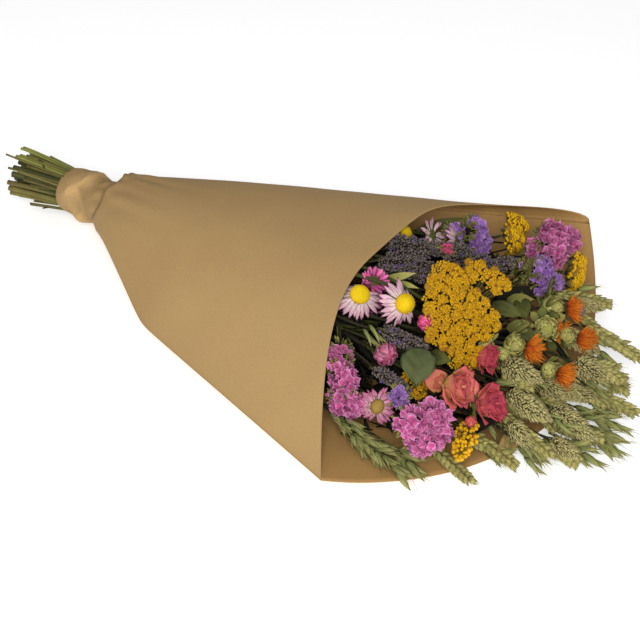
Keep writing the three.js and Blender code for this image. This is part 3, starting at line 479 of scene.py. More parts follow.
def daisy_disc(radius, height, seed):
    """A dome of tiny tube florets on a spiral."""
    draw = np.random.default_rng(seed)
    base = -0.6 + GAP
    count = 230
    rows = 8

    def dome(s):
        return radius * math.sin(math.pi * min(1, 0.16 + 0.84 * s)) ** 0.6, height * s**1.3 + base

    rings = [ring(*dome(s), circle(22)) for s in np.linspace(0, 1, rows + 1)[:-1]]
    body = loft(rings, np.linspace(0, 0.9, rows), end=(0, 0, height + base))
    spots = []
    for k in range(count):
        s = 1 - 0.9 * math.sqrt((k + 0.5) / count) ** 1.6
        r, z = dome(s)
        aside = toward(k * GOLDEN)
        spots.append((r * aside + z * UP, unit(aside * (1 - s) + s * UP), s))
    places, ways, share = (np.array(x) for x in zip(*spots))
    bump = revolve([(0.46, -0.1, 0.4), (0.22, 0.34, 0.9)], 5)
    grains = stamp(bump, frames(np.cross(ways, (0.3, 0.2, 1)), ways), places, draw.random(len(places)))
    grains.along = np.repeat(share, len(bump.points))
    return join(body, grains)


def frilled(seed):
    """One papery flower: a crumpled funnel of split lobes with a frayed rim."""
    draw = np.random.default_rng(seed)
    sides = 14
    angle = circle(sides)
    u = np.array([0.2, 0.64, 1.0])[:, None]
    lobes = np.abs(np.cos(2.5 * angle + draw.uniform(0, TAU)))
    frayed = 0.34 * (lobes - 0.6) + draw.normal(0, 0.15, sides)
    r = u * (1 + frayed * u)
    folds = 0.2 * np.cos(5 * angle + draw.uniform(0, TAU))
    folds = folds + 0.26 * np.cos(3 * angle + draw.uniform(0, TAU))
    z = 0.5 * u**1.3 + (folds + draw.normal(0, 0.19, sides)) * u**1.2
    outer = ring(r, z, angle)
    inner = outer[1:2] + (0, 0, 0.07)
    along = np.concatenate([u[:, 0], u[1:2, 0]])
    return loft(np.concatenate([outer, inner]), along, (0, 0, -0.02), (0, 0, 0.09))


def statice(blobs, seed, size, facing_share, joint):
    """Papery flowers over blobs, each (middle, radii), with green calyces where few face. The
    foot is as far below as the joint says."""
    draw = np.random.default_rng(seed)
    kinds = [frilled(seed + k) for k in range(5)]
    petals, greens = [], []
    for number, (middle_at, radii) in enumerate(blobs):
        middle_at, radii = np.array(middle_at, float), np.array(radii, float)
        surface = 4 * math.pi * (np.prod(radii) ** (2 / 3))
        count = int(surface / (1.15 * size * size))
        k = np.arange(count)
        z = 1 - 2 * (k + 0.5) / count
        way = ring(np.sqrt(1 - z * z), z, k * GOLDEN)
        way = unit(way + draw.normal(0, 0.16, way.shape))
        others = [blob for i, blob in enumerate(blobs) if i != number]
        for w in way:
            spot = middle_at + w * radii * draw.uniform(0.78, 1.06)
            if any(np.sum(((spot - np.array(c)) / np.array(r)) ** 2) < 0.62 for c, r in others):
                continue
            target = petals if w[2] > facing_share + draw.normal(0, 0.1) else greens
            target.append((spot, w))
    parts = []
    for k, kind in enumerate(kinds):
        mine = petals[k :: len(kinds)]
        if not mine:
            continue
        spots, ways = (np.array(x) for x in zip(*mine))
        out = unit(ways + (0, 0, 0.2) + draw.normal(0, 0.42, ways.shape))
        side = np.cross(out, draw.normal(0, 1, out.shape))
        scale = size * draw.uniform(0.6, 1.25, len(mine))
        matrices = frames(side, out) * scale[:, None, None]
        parts.append(stamp(kind, matrices, spots - out * scale[:, None] * 0.4, draw.random(len(mine))))
    if greens:
        spots, ways = (np.array(x) for x in zip(*greens))
        ahead = unit(UP - ways * ways[:, 2:3] + 0.02)
        calyx = blade(7.5, 2.2, rows=5, cols=3, foot=0.7, tip=0.1, cup=-0.5, thick=0.6, droop=0.6)
        for lift in (0.2, 0.6, 1.0):
            turned = lifted(ahead, ways, lift + draw.normal(0, 0.2, len(spots)))
            parts.append(stamp(calyx, turned, spots - ways * 1.2, draw.random(len(spots))).painted("green"))
    for middle_at, radii in blobs:
        # A near-black ball in each blob is painted shade, seen in the gaps between the flowers.
        ball = core(0.66, 1.32, sides=10, rows=6, along=0.0)
        parts.append(ball.turned(np.diag(radii), middle_at).painted("shade"))
        foot = np.array([0, 0, -joint - 1.0])
        knee = np.array([middle_at[0] * 0.3, middle_at[1] * 0.3, (middle_at[2] - joint) / 2])
        parts.append(tube(smooth_line([foot, knee, middle_at], 4), 1.15, 6).painted("stem"))
    return join(*parts)


def tuft(radii, seed, size=4.1, facing_share=-0.45, joint=12):
    """A small head of statice: one blob."""
    return statice([((0, 0, 0), radii)], seed, size, facing_share, joint)


def lavender(length, radius, seed):
    """Three spikes side by side, of small ribbed grey calyces with a few violet lips."""
    draw = np.random.default_rng(seed)
    strands = 3
    lip_share = 0.07
    lying = [[0, 0, 1], [0, 1, 0], [-1, 0, 0]]
    calyx = revolve([(0.4, 0, 0.1), (0.75, 1.2, 0.5), (0.55, 2.4, 0.8)], 4).turned(lying)
    mouth = [(0.3, 1.8, 0), (0.85, 2.7, 0.6), (0.95, 3.2, 1), (0.2, 2.7, 0.2)]
    lip = revolve(mouth, 5, 0.3, 3).turned(lying)
    made = []
    for strand in range(strands):
        aside = toward((strand + draw.random()) / strands * TAU) * radius * 0.5
        slip = draw.uniform(-0.1, 0.1) * length
        long = length * draw.uniform(0.8, 1.02)
        wide = radius * 0.6
        # A near-black core under the calyces: painted shade in the gaps between them.
        parts = [core(wide * 0.5, long * 0.97, sides=6, rows=8).painted("shade")]
        rows = max(8, round(long / 2.2))
        spots, ahead, out, _ = egg_spots(wide * 0.6, long, rows, 8, last=0.98)
        spots = spots + draw.normal(0, 0.4, spots.shape)
        turned = lifted(ahead, out, 0.8 + draw.normal(0, 0.3, len(spots)))
        turned = turned * draw.uniform(0.9, 1.4, len(spots))[:, None, None]
        parts.append(stamp(calyx, turned, spots, draw.random(len(spots))))
        lips = draw.random(len(spots)) < lip_share
        if lips.any():
            open_lips = stamp(lip, turned[lips], spots[lips], draw.random(lips.sum()))
            parts.append(open_lips.painted("lavender_lip"))
        foot = (-aside[0], -aside[1], -length * 0.55 - slip)
        parts.append(tube([foot, (0, 0, -length * 0.3)], 0.8, 5).painted("stem"))
        made.append(join(*parts).shifted(aside[0], aside[1], slip))
    return join(*made)


def petal_cup(radius, foot, height, azimuth, wide, lean, curl, seed):
    """A broad rounded petal that stands round an axis: it leans out by the angle lean, and its
    lip curls over by curl."""
    draw = np.random.default_rng(seed)
    u = np.linspace(0, 1, 10)[:, None]
    v = np.linspace(-1, 1, 11)[None, :]
    half = wide * (0.3 + 0.7 * np.sin(math.pi * 0.5 * np.minimum(1, 1.5 * u)) ** 0.8) * (1 - 0.25 * u**6)
    rise = height * u * (1 - 0.16 * v**2 * u**2)
    out = foot + math.sin(lean) * rise + 0.22 * radius * np.sin(math.pi * 0.8 * u)
    out = out + curl * radius * np.maximum(0, u - 0.62) ** 1.6 * 3.2 * (0.7 + 0.6 * np.abs(v))
    z = math.cos(lean) * rise - curl * height * np.maximum(0, u - 0.7) ** 2 * 2.2
    bend = 0.95 * radius
    phi = v * half / bend
    ripple = 0.08 * radius * np.sin(6 * v + draw.uniform(0, TAU)) * u**1.5
    ripple = ripple + 0.05 * radius * np.sin(11 * v + 6 * u + draw.uniform(0, TAU)) * u
    x = out - bend * (1 - np.cos(phi)) * (1 - 0.25 * u) + ripple
    y = bend * np.sin(phi)
    grid = np.stack([x, y, z + 0.5 * ripple], -1)
    petal = lamina(grid, 0.4, u + 0 * v)
    petal.tone[:] = draw.random()
    return petal.turned(spin(azimuth))


# Layers of a rose from the outside in: petals, then their foot, height, lean, curl and width.
ROSE_LAYERS = [
    (2, 0.36, 0.8, 0.75, 0.5, 1.1),
    (4, 0.36, 0.98, 0.3, 0.42, 1.15),
    (4, 0.32, 1.02, 0.14, 0.26, 1.0),
    (4, 0.22, 0.98, 0.06, 0.14, 0.85),
    (3, 0.13, 0.9, 0.0, 0.08, 0.7),
    (2, 0.05, 0.82, 0.0, 0.04, 0.5),
]
LOOSE_PETALS = [(2, 0.3, 0.9, 0.5, 0.4, 1.2), (3, 0.1, 0.8, 0.1, 0.1, 0.9)]


def rose(radius, height, seed, layers=ROSE_LAYERS):
    """Wrinkled petals round a furled heart: the outer ones stand off and curl over."""
    draw = np.random.default_rng(seed)
    parts = []
    for depth, (number, foot, tall, lean, curl, wide) in enumerate(layers):
        for k in range(number):
            azimuth = (k + 0.43 * depth) / number * TAU + draw.normal(0, 0.16)
            petal = petal_cup(
                radius,
                radius * foot,
                height * tall * draw.uniform(0.9, 1.06),
                azimuth,
                radius * wide * draw.uniform(0.85, 1.1),
                lean + draw.normal(0, 0.07),
                curl * draw.uniform(0.6, 1.3),
                seed * 100 + depth * 10 + k,
            )
            petal.tone[:] = 0.25 * depth / len(layers) + 0.75 * petal.tone
            parts.append(petal.shifted(z=-0.5 * height))
    heart = core(radius * 0.2, height * 0.8, sides=9, rows=6, along=0.6)
    parts.append(heart)
    return join(*parts)


def egg_petal(radius, length, azimuth, wide, low, high, lift, seed, shoulder, curl, thick):
    """A bract that hugs an egg, from its place low to high along it, its tip off the surface."""
    draw = np.random.default_rng(seed)
    u = np.linspace(0, 1, 7)[:, None]
    v = np.linspace(-1, 1, 5)[None, :]
    s = np.clip(low + (high - low) * u * (1 - 0.2 * v**2 * u), 0.02, 0.985)
    half = wide * np.sin(math.pi * (0.16 + 0.8 * u)) ** 0.7
    swell = np.sin(math.pi * s**shoulder) ** 0.6
    r = radius * swell * (1 + lift * (0.3 + u**2)) + curl * radius * np.maximum(0, u - 0.65) ** 1.5 * 2
    r = r + radius * 0.025 * np.sin(6 * v + draw.uniform(0, TAU)) * u
    angle = azimuth + v * half * (radius / np.maximum(r, 0.35 * radius)) ** 0.7
    z = length * (s - 0.5) + 0.02 * length * np.sin(4 * v + draw.uniform(0, TAU)) * u
    petal = lamina(np.stack([r * np.cos(angle), r * np.sin(angle), z], -1), thick, u + 0 * v)
    petal.tone[:] = draw.random()
    return petal


def wrapped(radius, length, seed, rings, shoulder=0.9, curl=0.0, thick=0.35):
    """An egg of overlapping bracts in rings."""
    draw = np.random.default_rng(seed)
    parts = []
    for row, (number, low, high, wide, lift) in enumerate(rings):
        for k in range(number):
            azimuth = (k + 0.5 * (row % 2)) / number * TAU + draw.normal(0, 0.12)
            top = min(0.97, high + draw.uniform(-0.04, 0.04))
            off = lift + draw.uniform(0, 0.05)
            own = seed * 50 + 10 * row + k
            rest = (own, shoulder, curl * draw.uniform(0.4, 1.4), thick)
            parts.append(egg_petal(radius, length, azimuth, wide, low, top, off, *rest))
    parts.append(core(radius * 0.93, length * 0.96, shoulder, sides=14, rows=9, along=0.3))
    return join(*parts)


# Rings of bracts: number, low and high end along the egg, half width in radians and lift.
BUD_BRACTS = [
    (6, 0.02, 0.45, 0.5, 0.1),
    (7, 0.1, 0.66, 0.5, 0.09),
    (7, 0.3, 0.86, 0.5, 0.05),
    (5, 0.5, 0.97, 0.55, 0.01),
]
BALL_BRACTS = [
    (5, 0.03, 0.5, 0.75, 0.12),
    (5, 0.12, 0.72, 0.8, 0.1),
    (5, 0.34, 0.9, 0.75, 0.04),
    (4, 0.55, 0.97, 0.8, 0),
]


def strawflower(radius, length, seed):
    return wrapped(radius * 0.92, length, seed, BUD_BRACTS)


def safflower(radius, length, seed):
    """The brush: flat ragged orange ribbons in a few clumps, that lean out and curl."""
    draw = np.random.default_rng(seed)
    threads = 260
    clumps = [(draw.uniform(0, TAU), draw.uniform(0.15, 1.0), draw.uniform(0.6, 1.05)) for _ in range(11)]
    parts = []
    for k in range(threads):
        side, off, tall = clumps[k % len(clumps)]
        share = min(1, max(0.02, off + draw.normal(0, 0.25)))
        way = toward(side + draw.normal(0, 0.5))
        lean = share * draw.uniform(0.25, 0.95)
        reach = length * tall * draw.uniform(0.75, 1.12)
        s = np.linspace(0, 1, 4)[:, None]
        root = way * radius * 0.42 * share + (0, 0, -length / 2)
        line = root + s * reach * (way * math.sin(lean) + UP * math.cos(lean))
        line = line + s**2 * draw.normal(0, 1.5, 3) + (s > 0.6) * draw.normal(0, 0.8, 3)
        wide = draw.uniform(0.34, 0.62)
        taper = np.array([0.6, 1.0, 0.95, 0.35]) * wide
        thread = tube(line, taper, 4, np.linspace(0, 1, 4), draw.uniform(0, 2))
        thread.tone[:] = 0.6 * draw.random() + 0.4 * off
        parts.append(thread)
    parts.append(core(radius * 0.4, length * 0.6, sides=8, rows=5, along=0.2).shifted(z=-length * 0.25))
    return join(*parts)


def leafy_ball(ball, drop, seed):
    """The safflower's round green base: smooth wrapped bracts with curled tips, leafy below."""
    draw = np.random.default_rng(seed)
    parts = [wrapped(ball * 0.95, ball * 1.95, seed, BALL_BRACTS, 0.85, curl=0.3, thick=0.5)]
    leafy = 7
    for k in range(leafy):
        a = (k + 0.5) / leafy * TAU + draw.normal(0, 0.2)
        long = ball * draw.uniform(1.5, 2.6)
        wide = ball * draw.uniform(0.6, 1.0)
        droop = ball * draw.uniform(0.1, 1.4)
        bract = blade(long, wide, 9, 5, ball * 0.3, 0.4, 0.04, droop=droop, fold=0.3, wave=0.09, thick=0.4)
        bract.tone[:] = draw.random()
        parts.append(bract.shifted(z=-ball * 0.6).turned(spin(a)).painted("leaf" if k % 2 else "green"))
    return join(*parts).shifted(z=-drop)


def helichrysum(radius, length, seed):
    """Clusters of lumpy golden balls along a short spray."""
    draw = np.random.default_rng(seed)
    count = 210
    ball = revolve([(0.5, -0.85, 0.2), (0.97, -0.2, 0.5), (0.86, 0.5, 0.8), (0.4, 0.9, 1.0)], 8, 0.14, 4)
    places = []
    for k in range(count):
        r, z = egg(radius * 0.85, length * 0.95, (k + draw.random()) / count)
        aside = toward(draw.uniform(0, TAU))
        places.append(aside * r * math.sqrt(draw.uniform(0.1, 1.3)) + z * UP)
    places = np.array(places)
    size = draw.uniform(1.1, 2.1, len(places))
    out = unit(places * (1, 1, 0.1) + (0, 0, 2))
    turned = frames(np.cross(out, (0.2, 1, 0)), out) * size[:, None, None]
    parts = [stamp(ball, turned, places, draw.random(len(places)))]
    for x, y, z in places:
        low = max(-length / 2, z - 7)
        bend = (x * 0.5, y * 0.5, (low + z) / 2)
        parts.append(tube([(0, 0, low), bend, (x, y, z)], 0.5, 4).painted("cup"))
    axis = [(0, 0, -length / 2 - 1), (0.5, 0, 0), (0, 0, length * 0.42)]
    parts.append(tube(axis, EAR_AXIS, 5).painted("stem"))
    return join(*parts)


def canary_grass(length, radius, seed):
    """An egg of narrow keeled glumes, pale at the edge, their points standing out."""
    draw = np.random.default_rng(seed)
    parts = [core(radius * 0.82, length * 0.94, 0.8, along=0.25)]
    rows = round(length / 1.7)
    spots, ahead, out, u = egg_spots(radius * 0.9, length * 0.95, rows, 18, 0.8, last=0.96)
    glume = blade(5.4, 3.0, 3, 3, foot=0.55, tip=0.08, widest=0.5, fold=-0.6, droop=-0.2, thick=0.3)
    spots = spots + draw.normal(0, 0.2, spots.shape)
    turned = lifted(ahead, out, 0.3 + 0.14 * u + draw.normal(0, 0.1, len(spots)))
    twist = draw.normal(0, 0.14, (len(spots), 3))
    turned = frames(turned[:, :, 0] + twist, turned[:, :, 2])
    turned = turned * draw.uniform(0.8, 1.2, len(spots))[:, None, None]
    parts.append(stamp(glume, turned, spots - out * 0.4, draw.random(len(spots))))
    return join(*parts)


def husk_of_wheat():
    """A plump keeled husk along Z."""
    angle = circle(5)
    keel = 1 + 0.22 * np.maximum(0, np.cos(angle)) ** 3
    rings = []
    for s, r in ((0, 0.4), (0.18, 1.5), (0.45, 1.95), (0.78, 1.05), (0.97, 0.2)):
        x = r * keel * np.cos(angle) + 0.9 * s * s
        rings.append(np.stack([x, r * np.sin(angle), 10.6 * s + 0 * angle], -1))
    return loft(rings, [0, 0.18, 0.45, 0.8, 1])


def wheat(length, seed):
    """Two ranks of plump spikelets up a zigzag axis, with short awns on some."""
    draw = np.random.default_rng(seed)
    awned = 0.3
    husk = husk_of_wheat()
    parts = [tube([(0, 0, -length / 2), (0, 0, 0), (0, 0, length * 0.42)], EAR_AXIS, 5)]
    count = round(length / 3.1)
    for k in range(count):
        share = k / (count - 1)
        side = 1 if k % 2 else -1
        foot = np.array([side * 0.7, 0, length * (-0.5 + 0.83 * share)])
        size = (0.74 + 0.34 * math.sin(math.pi * (0.12 + 0.8 * share))) * draw.uniform(0.92, 1.08)
        for turn, lean in ((0, 0.36), (1.05, 0.42), (-1.05, 0.42), (0.5, 0.16), (-0.5, 0.16)):
            azimuth = turn + (0 if side > 0 else math.pi) + draw.normal(0, 0.1)
            tilt = lean + draw.normal(0, 0.06)
            out = toward(azimuth)
            way = math.sin(tilt) * out + math.cos(tilt) * UP
            x = unit(out - way * (out @ way))
            one = husk.turned(np.stack([x, np.cross(way, x), way], -1) * size, foot + out * 0.5)
            one.tone[:] = draw.random()
            parts.append(one)
            if draw.random() < awned:
                tip = foot + way * 10 * size
                end = tip + unit(way + (0, 0, 0.4)) * draw.uniform(2.5, 8)
                parts.append(tube([tip, (tip + end) / 2, end], [0.24, 0.17, 0.06], 3, [0.9, 1, 1]))
    return join(*parts)


def spikelet(seed):
    """Two long papery glumes, a little apart at the tip, round a slim grain, with thin awns."""
    draw = np.random.default_rng(seed)
    length = 27
    parts = []
    for side in (1, -1):
        open_by = 1.4 + 1.2 * draw.random()
        long = length * draw.uniform(0.86, 1)
        glume = blade(long, 6.4, rows=9, foot=0.25, tip=0.02, widest=0.34, cup=0.5, droop=-0.9, thick=0.3)
        points = glume.points.copy()
        z = side * (0.5 + open_by * (points[:, 0] / 24) ** 1.5 * 1.2 - points[:, 2] * 0.9)
        glume.points = np.column_stack([z, points[:, 1], points[:, 0]])
        glume.tone[:] = 0.2 + 0.6 * draw.random()
        parts.append(glume.outward())
    inner = [(0.3, 1, 0.4), (1.2, 5, 0.5), (1.3, 10, 0.6), (0.7, 16, 0.8), (0.15, 21, 1)]
    parts.append(revolve(inner, 6))
    for _ in range(2):
        end = np.array([*draw.normal(0, 3.5, 2), length + draw.uniform(3, 12)])
        parts.append(tube([(0.5, 0, 10), (0.6, 0.3, 19), end], [0.22, 0.2, 0.07], 3, [0.8, 0.9, 1]))
    return join(*parts)


def oat(length, spikelets, spread, seed):
    """A panicle: spikelets on thin necks that lean to either side of the stalk's end."""
    draw = np.random.default_rng(seed)
    stalk_line = np.array([(0, 0, -length / 2), (0.6, 0, 0), (0, 0, length * 0.3)])
    parts = [tube(stalk_line, [1, 0.8, 0.5], 5, [0, 0, 0.3])]
    number = spikelets + 5
    for k in range(number):
        share = k / (number - 1)
        side = 1 if k % 2 else -1
        foot = np.array([0, 0, length * (-0.48 + 0.75 * share)])
        lean = side * spread * (1 - 0.75 * share) * draw.uniform(0.7, 1.2)
        way = unit([math.sin(lean), 0.3 * math.cos(2.4 * k), math.cos(lean)])
        neck = foot + way * draw.uniform(4, 9)
        bend = (foot + neck) / 2 + (0, 0.3, 0)
        parts.append(tube([foot, bend, neck + way], [0.4, 0.3, 0.35], 4, [0, 0.1, 0.2]))
        turned = facing_matrix(way) @ spin(draw.uniform(-0.9, 0.9))
        parts.append(spikelet(seed * 20 + k).turned(turned * draw.uniform(0.86, 1.02), neck))
    return join(*parts)


def leaf(length, width, fold, seed):
    """A folded leaf with a wavy edge, its tip the way that it faces."""
    droop = -0.12 * length
    outline = (16, 9, -length / 2, 0.12, 0.03, 0.42, droop)
    shape = blade(length, width, *outline, fold=fold, wave=0.045, thick=0.4)
    x, y, _ = shape.points.T
    veins = np.abs(np.sin(x / length * 9 + np.abs(y) / width * 7)) - 0.5
    shape.points[:, 2] += 0.06 * width * veins
    shape.tone[:] = 0.35 + 0.3 * np.random.default_rng(seed).random()
    return shape.turned([[0, 0, -1], [0, 1, 0], [1, 0, 0]]).painted("leaf")


# What the arrangement needs to know of a bloom.


@dataclass
class Bloom:
    rods: list  # what it takes up, each two ends and a radius
    joint: float  # the distance back to where its stem joins
    dress: object  # makes its fine form
    fused: bool = False  # one piece with the stem
    base: object = None  # makes its green part, which belongs to the stem
    broad: bool = False  # a leaf, which is turned to be seen
    turned: tuple = None  # the way that such a leaf's tip points, if not as its solid's does


def star(reach, height, radius):
    """Rods that cross in the middle of a flat head."""
    arms = 5
    made = []
    for k in range(arms):
        a = k * math.pi / arms
        x, y = reach * math.cos(a), reach * math.sin(a)
        made.append(((x, y, height), (-x, -y, height), radius))
    return made


def rods_along(length, radius):
    half = max(length / 2 - radius, 0.1)
    return [((0, 0, -half), (0, 0, half), radius)]


def yarrow_bloom(radius, *form):
    rods = star(radius * 0.88, 0, radius * 0.15)
    rods.append(((0, 0, -0.24 * radius), (0, 0, -0.1 * radius), 0.42 * radius))
    return Bloom(rods, 0.4 * radius, lambda: yarrow(*form))


def cluster_bloom(radius, length, dress):
    if length > 2 * radius:
        return Bloom(rods_along(length, radius + 1.5), length / 2, dress)
    return Bloom(star(radius * 0.5, 0, radius * 0.55), length / 2, dress)


def statice_bloom(radius, length, blobs, seed, size=4.1, facing_share=-0.45):
    return cluster_bloom(radius, length, lambda: statice(blobs, seed, size, facing_share, length / 2))


def helichrysum_bloom(radius, length, seed):
    return cluster_bloom(radius, length, lambda: helichrysum(radius + 0.5, length, seed))


def rose_bloom(radius, height, seed):
    hip = radius * 0.36
    drop = -height / 2 - GAP - hip
    rods = rods_along(height, radius) + [((0, 0, drop), (0, 0, drop + hip), hip + 1)]

    def base():
        parts = [core(hip, hip * 2, sides=10, rows=6, along=0.2)]
        long, wide, droop = radius * 0.95, radius * 0.42, radius * 0.55
        sepal = blade(long, wide, 7, 5, hip * 0.4, 0.6, 0.04, droop=droop, fold=0.2, wave=0.05, thick=0.4)
        parts += [sepal.turned(spin(k * TAU / 5)) for k in range(5)]
        return join(*parts).shifted(z=drop).painted("green")

    return Bloom(rods, -drop + hip * 0.4, lambda: rose(radius, height, seed), base=base)


def bud_bloom(radius, length, seed):
    return Bloom(rods_along(length, radius), length / 2, lambda: strawflower(radius, length, seed))


def safflower_bloom(radius, length, ball, seed):
    drop = length / 2 + ball * 1.05 + GAP
    low, high = -drop - ball * 0.4, -drop + ball * 0.2
    rods = rods_along(length, radius) + [((0, 0, low), (0, 0, high), ball * 1.3)]
    return Bloom(
        rods,
        drop + ball * 0.8,
        lambda: safflower(radius, length, seed),
        base=lambda: leafy_ball(ball, drop, seed),
    )


def spike_bloom(length, radius, dress):
    return Bloom(rods_along(length, radius + 1), length / 2 - 3, dress, fused=True)


def lavender_bloom(seed, length, radius=4.2):
    return spike_bloom(length, radius, lambda: lavender(length, radius + 1.6, seed))


def wheat_bloom(seed, length):
    return spike_bloom(length, 4.2, lambda: wheat(length, seed))


def canary_bloom(seed, length, radius=9.5):
    return spike_bloom(length, radius, lambda: canary_grass(length, radius, seed))


def oat_bloom(length, spikelets, spread, seed):
    rods = []
    for side in (-1, 0, 1):
        low = (-0.45 if side else 0.2) * length
        tip = (side * 30 * math.sin(spread), 0, low + 30 * math.cos(spread))
        rods.append(((0, 0, -0.45 * length), tip, 7))
    return Bloom(rods, length / 2 - 1, lambda: oat(length * 0.86, spikelets, spread, seed), fused=True)


def leaf_bloom(length, width, seed, shown=None, finish="leaf", turned=None):
    """Shown is the length and width of the fine leaf, if they aren't those of the solid."""
    rods = [
        ((0, 0, -length * 0.3), (0, 0, length * 0.4), width * 0.25),
        ((0, -width * 0.4, -length * 0.1), (0, width * 0.4, -length * 0.1), 3),
    ]

    def dress():
        return leaf(*(shown or (length, width)), 0.35, seed).painted(finish)

    return Bloom(rods, length / 2 - 1, dress, fused=True, broad=True, turned=turned)


def daisy_bloom(count, length, droop, seed, *spread):
    """The solid has count petals, the fine form seven more, where they are spread."""
    rods = star(length * 0.8 + 3.5, droop * 0.55 - 1.5, 3.9) + [((0, 0, -2), (0, 0, 4), 7)]
    fan = spread or ((0, 360),)
    return Bloom(rods, 4, lambda: daisy(count + 7, length, droop, seed, fan))


# Blobs that heads of statice are made of: middle and radii.
STATICE_1 = [
    ((0, 0, 0), (10, 10, 30)),
    ((4, 0, 24), (9, 8, 10)),
    ((-5, 0, 20), (8, 8, 12)),
    ((1, 0, -24), (9, 9, 12)),
]
STATICE_2 = [
    ((-9, 4, 0), (12, 13, 15)),
    ((9, 6, 2), (12, 12, 14)),
    ((-3, -11, 0), (13, 11, 14)),
    ((11, -7, -2), (10, 11, 12)),
]
STATICE_3 = [((4, 6, 3), (13, 13, 14)), ((-8, -5, 0), (12, 10, 12)), ((9, -6, 0), (8, 9, 11))]
PURPLE_1 = [((0, 8, 0), (13, 13, 12)), ((4, -8, 2), (11, 12, 12)), ((-8, 0, -2), (9, 12, 10))]
PURPLE_2 = [((2, 3, 2), (11, 11, 12)), ((-4, -4, -2), (10, 10, 11))]
SAGE_TIP = (0.42, -0.8, -0.41)  # the way that the sage leaf's tip points
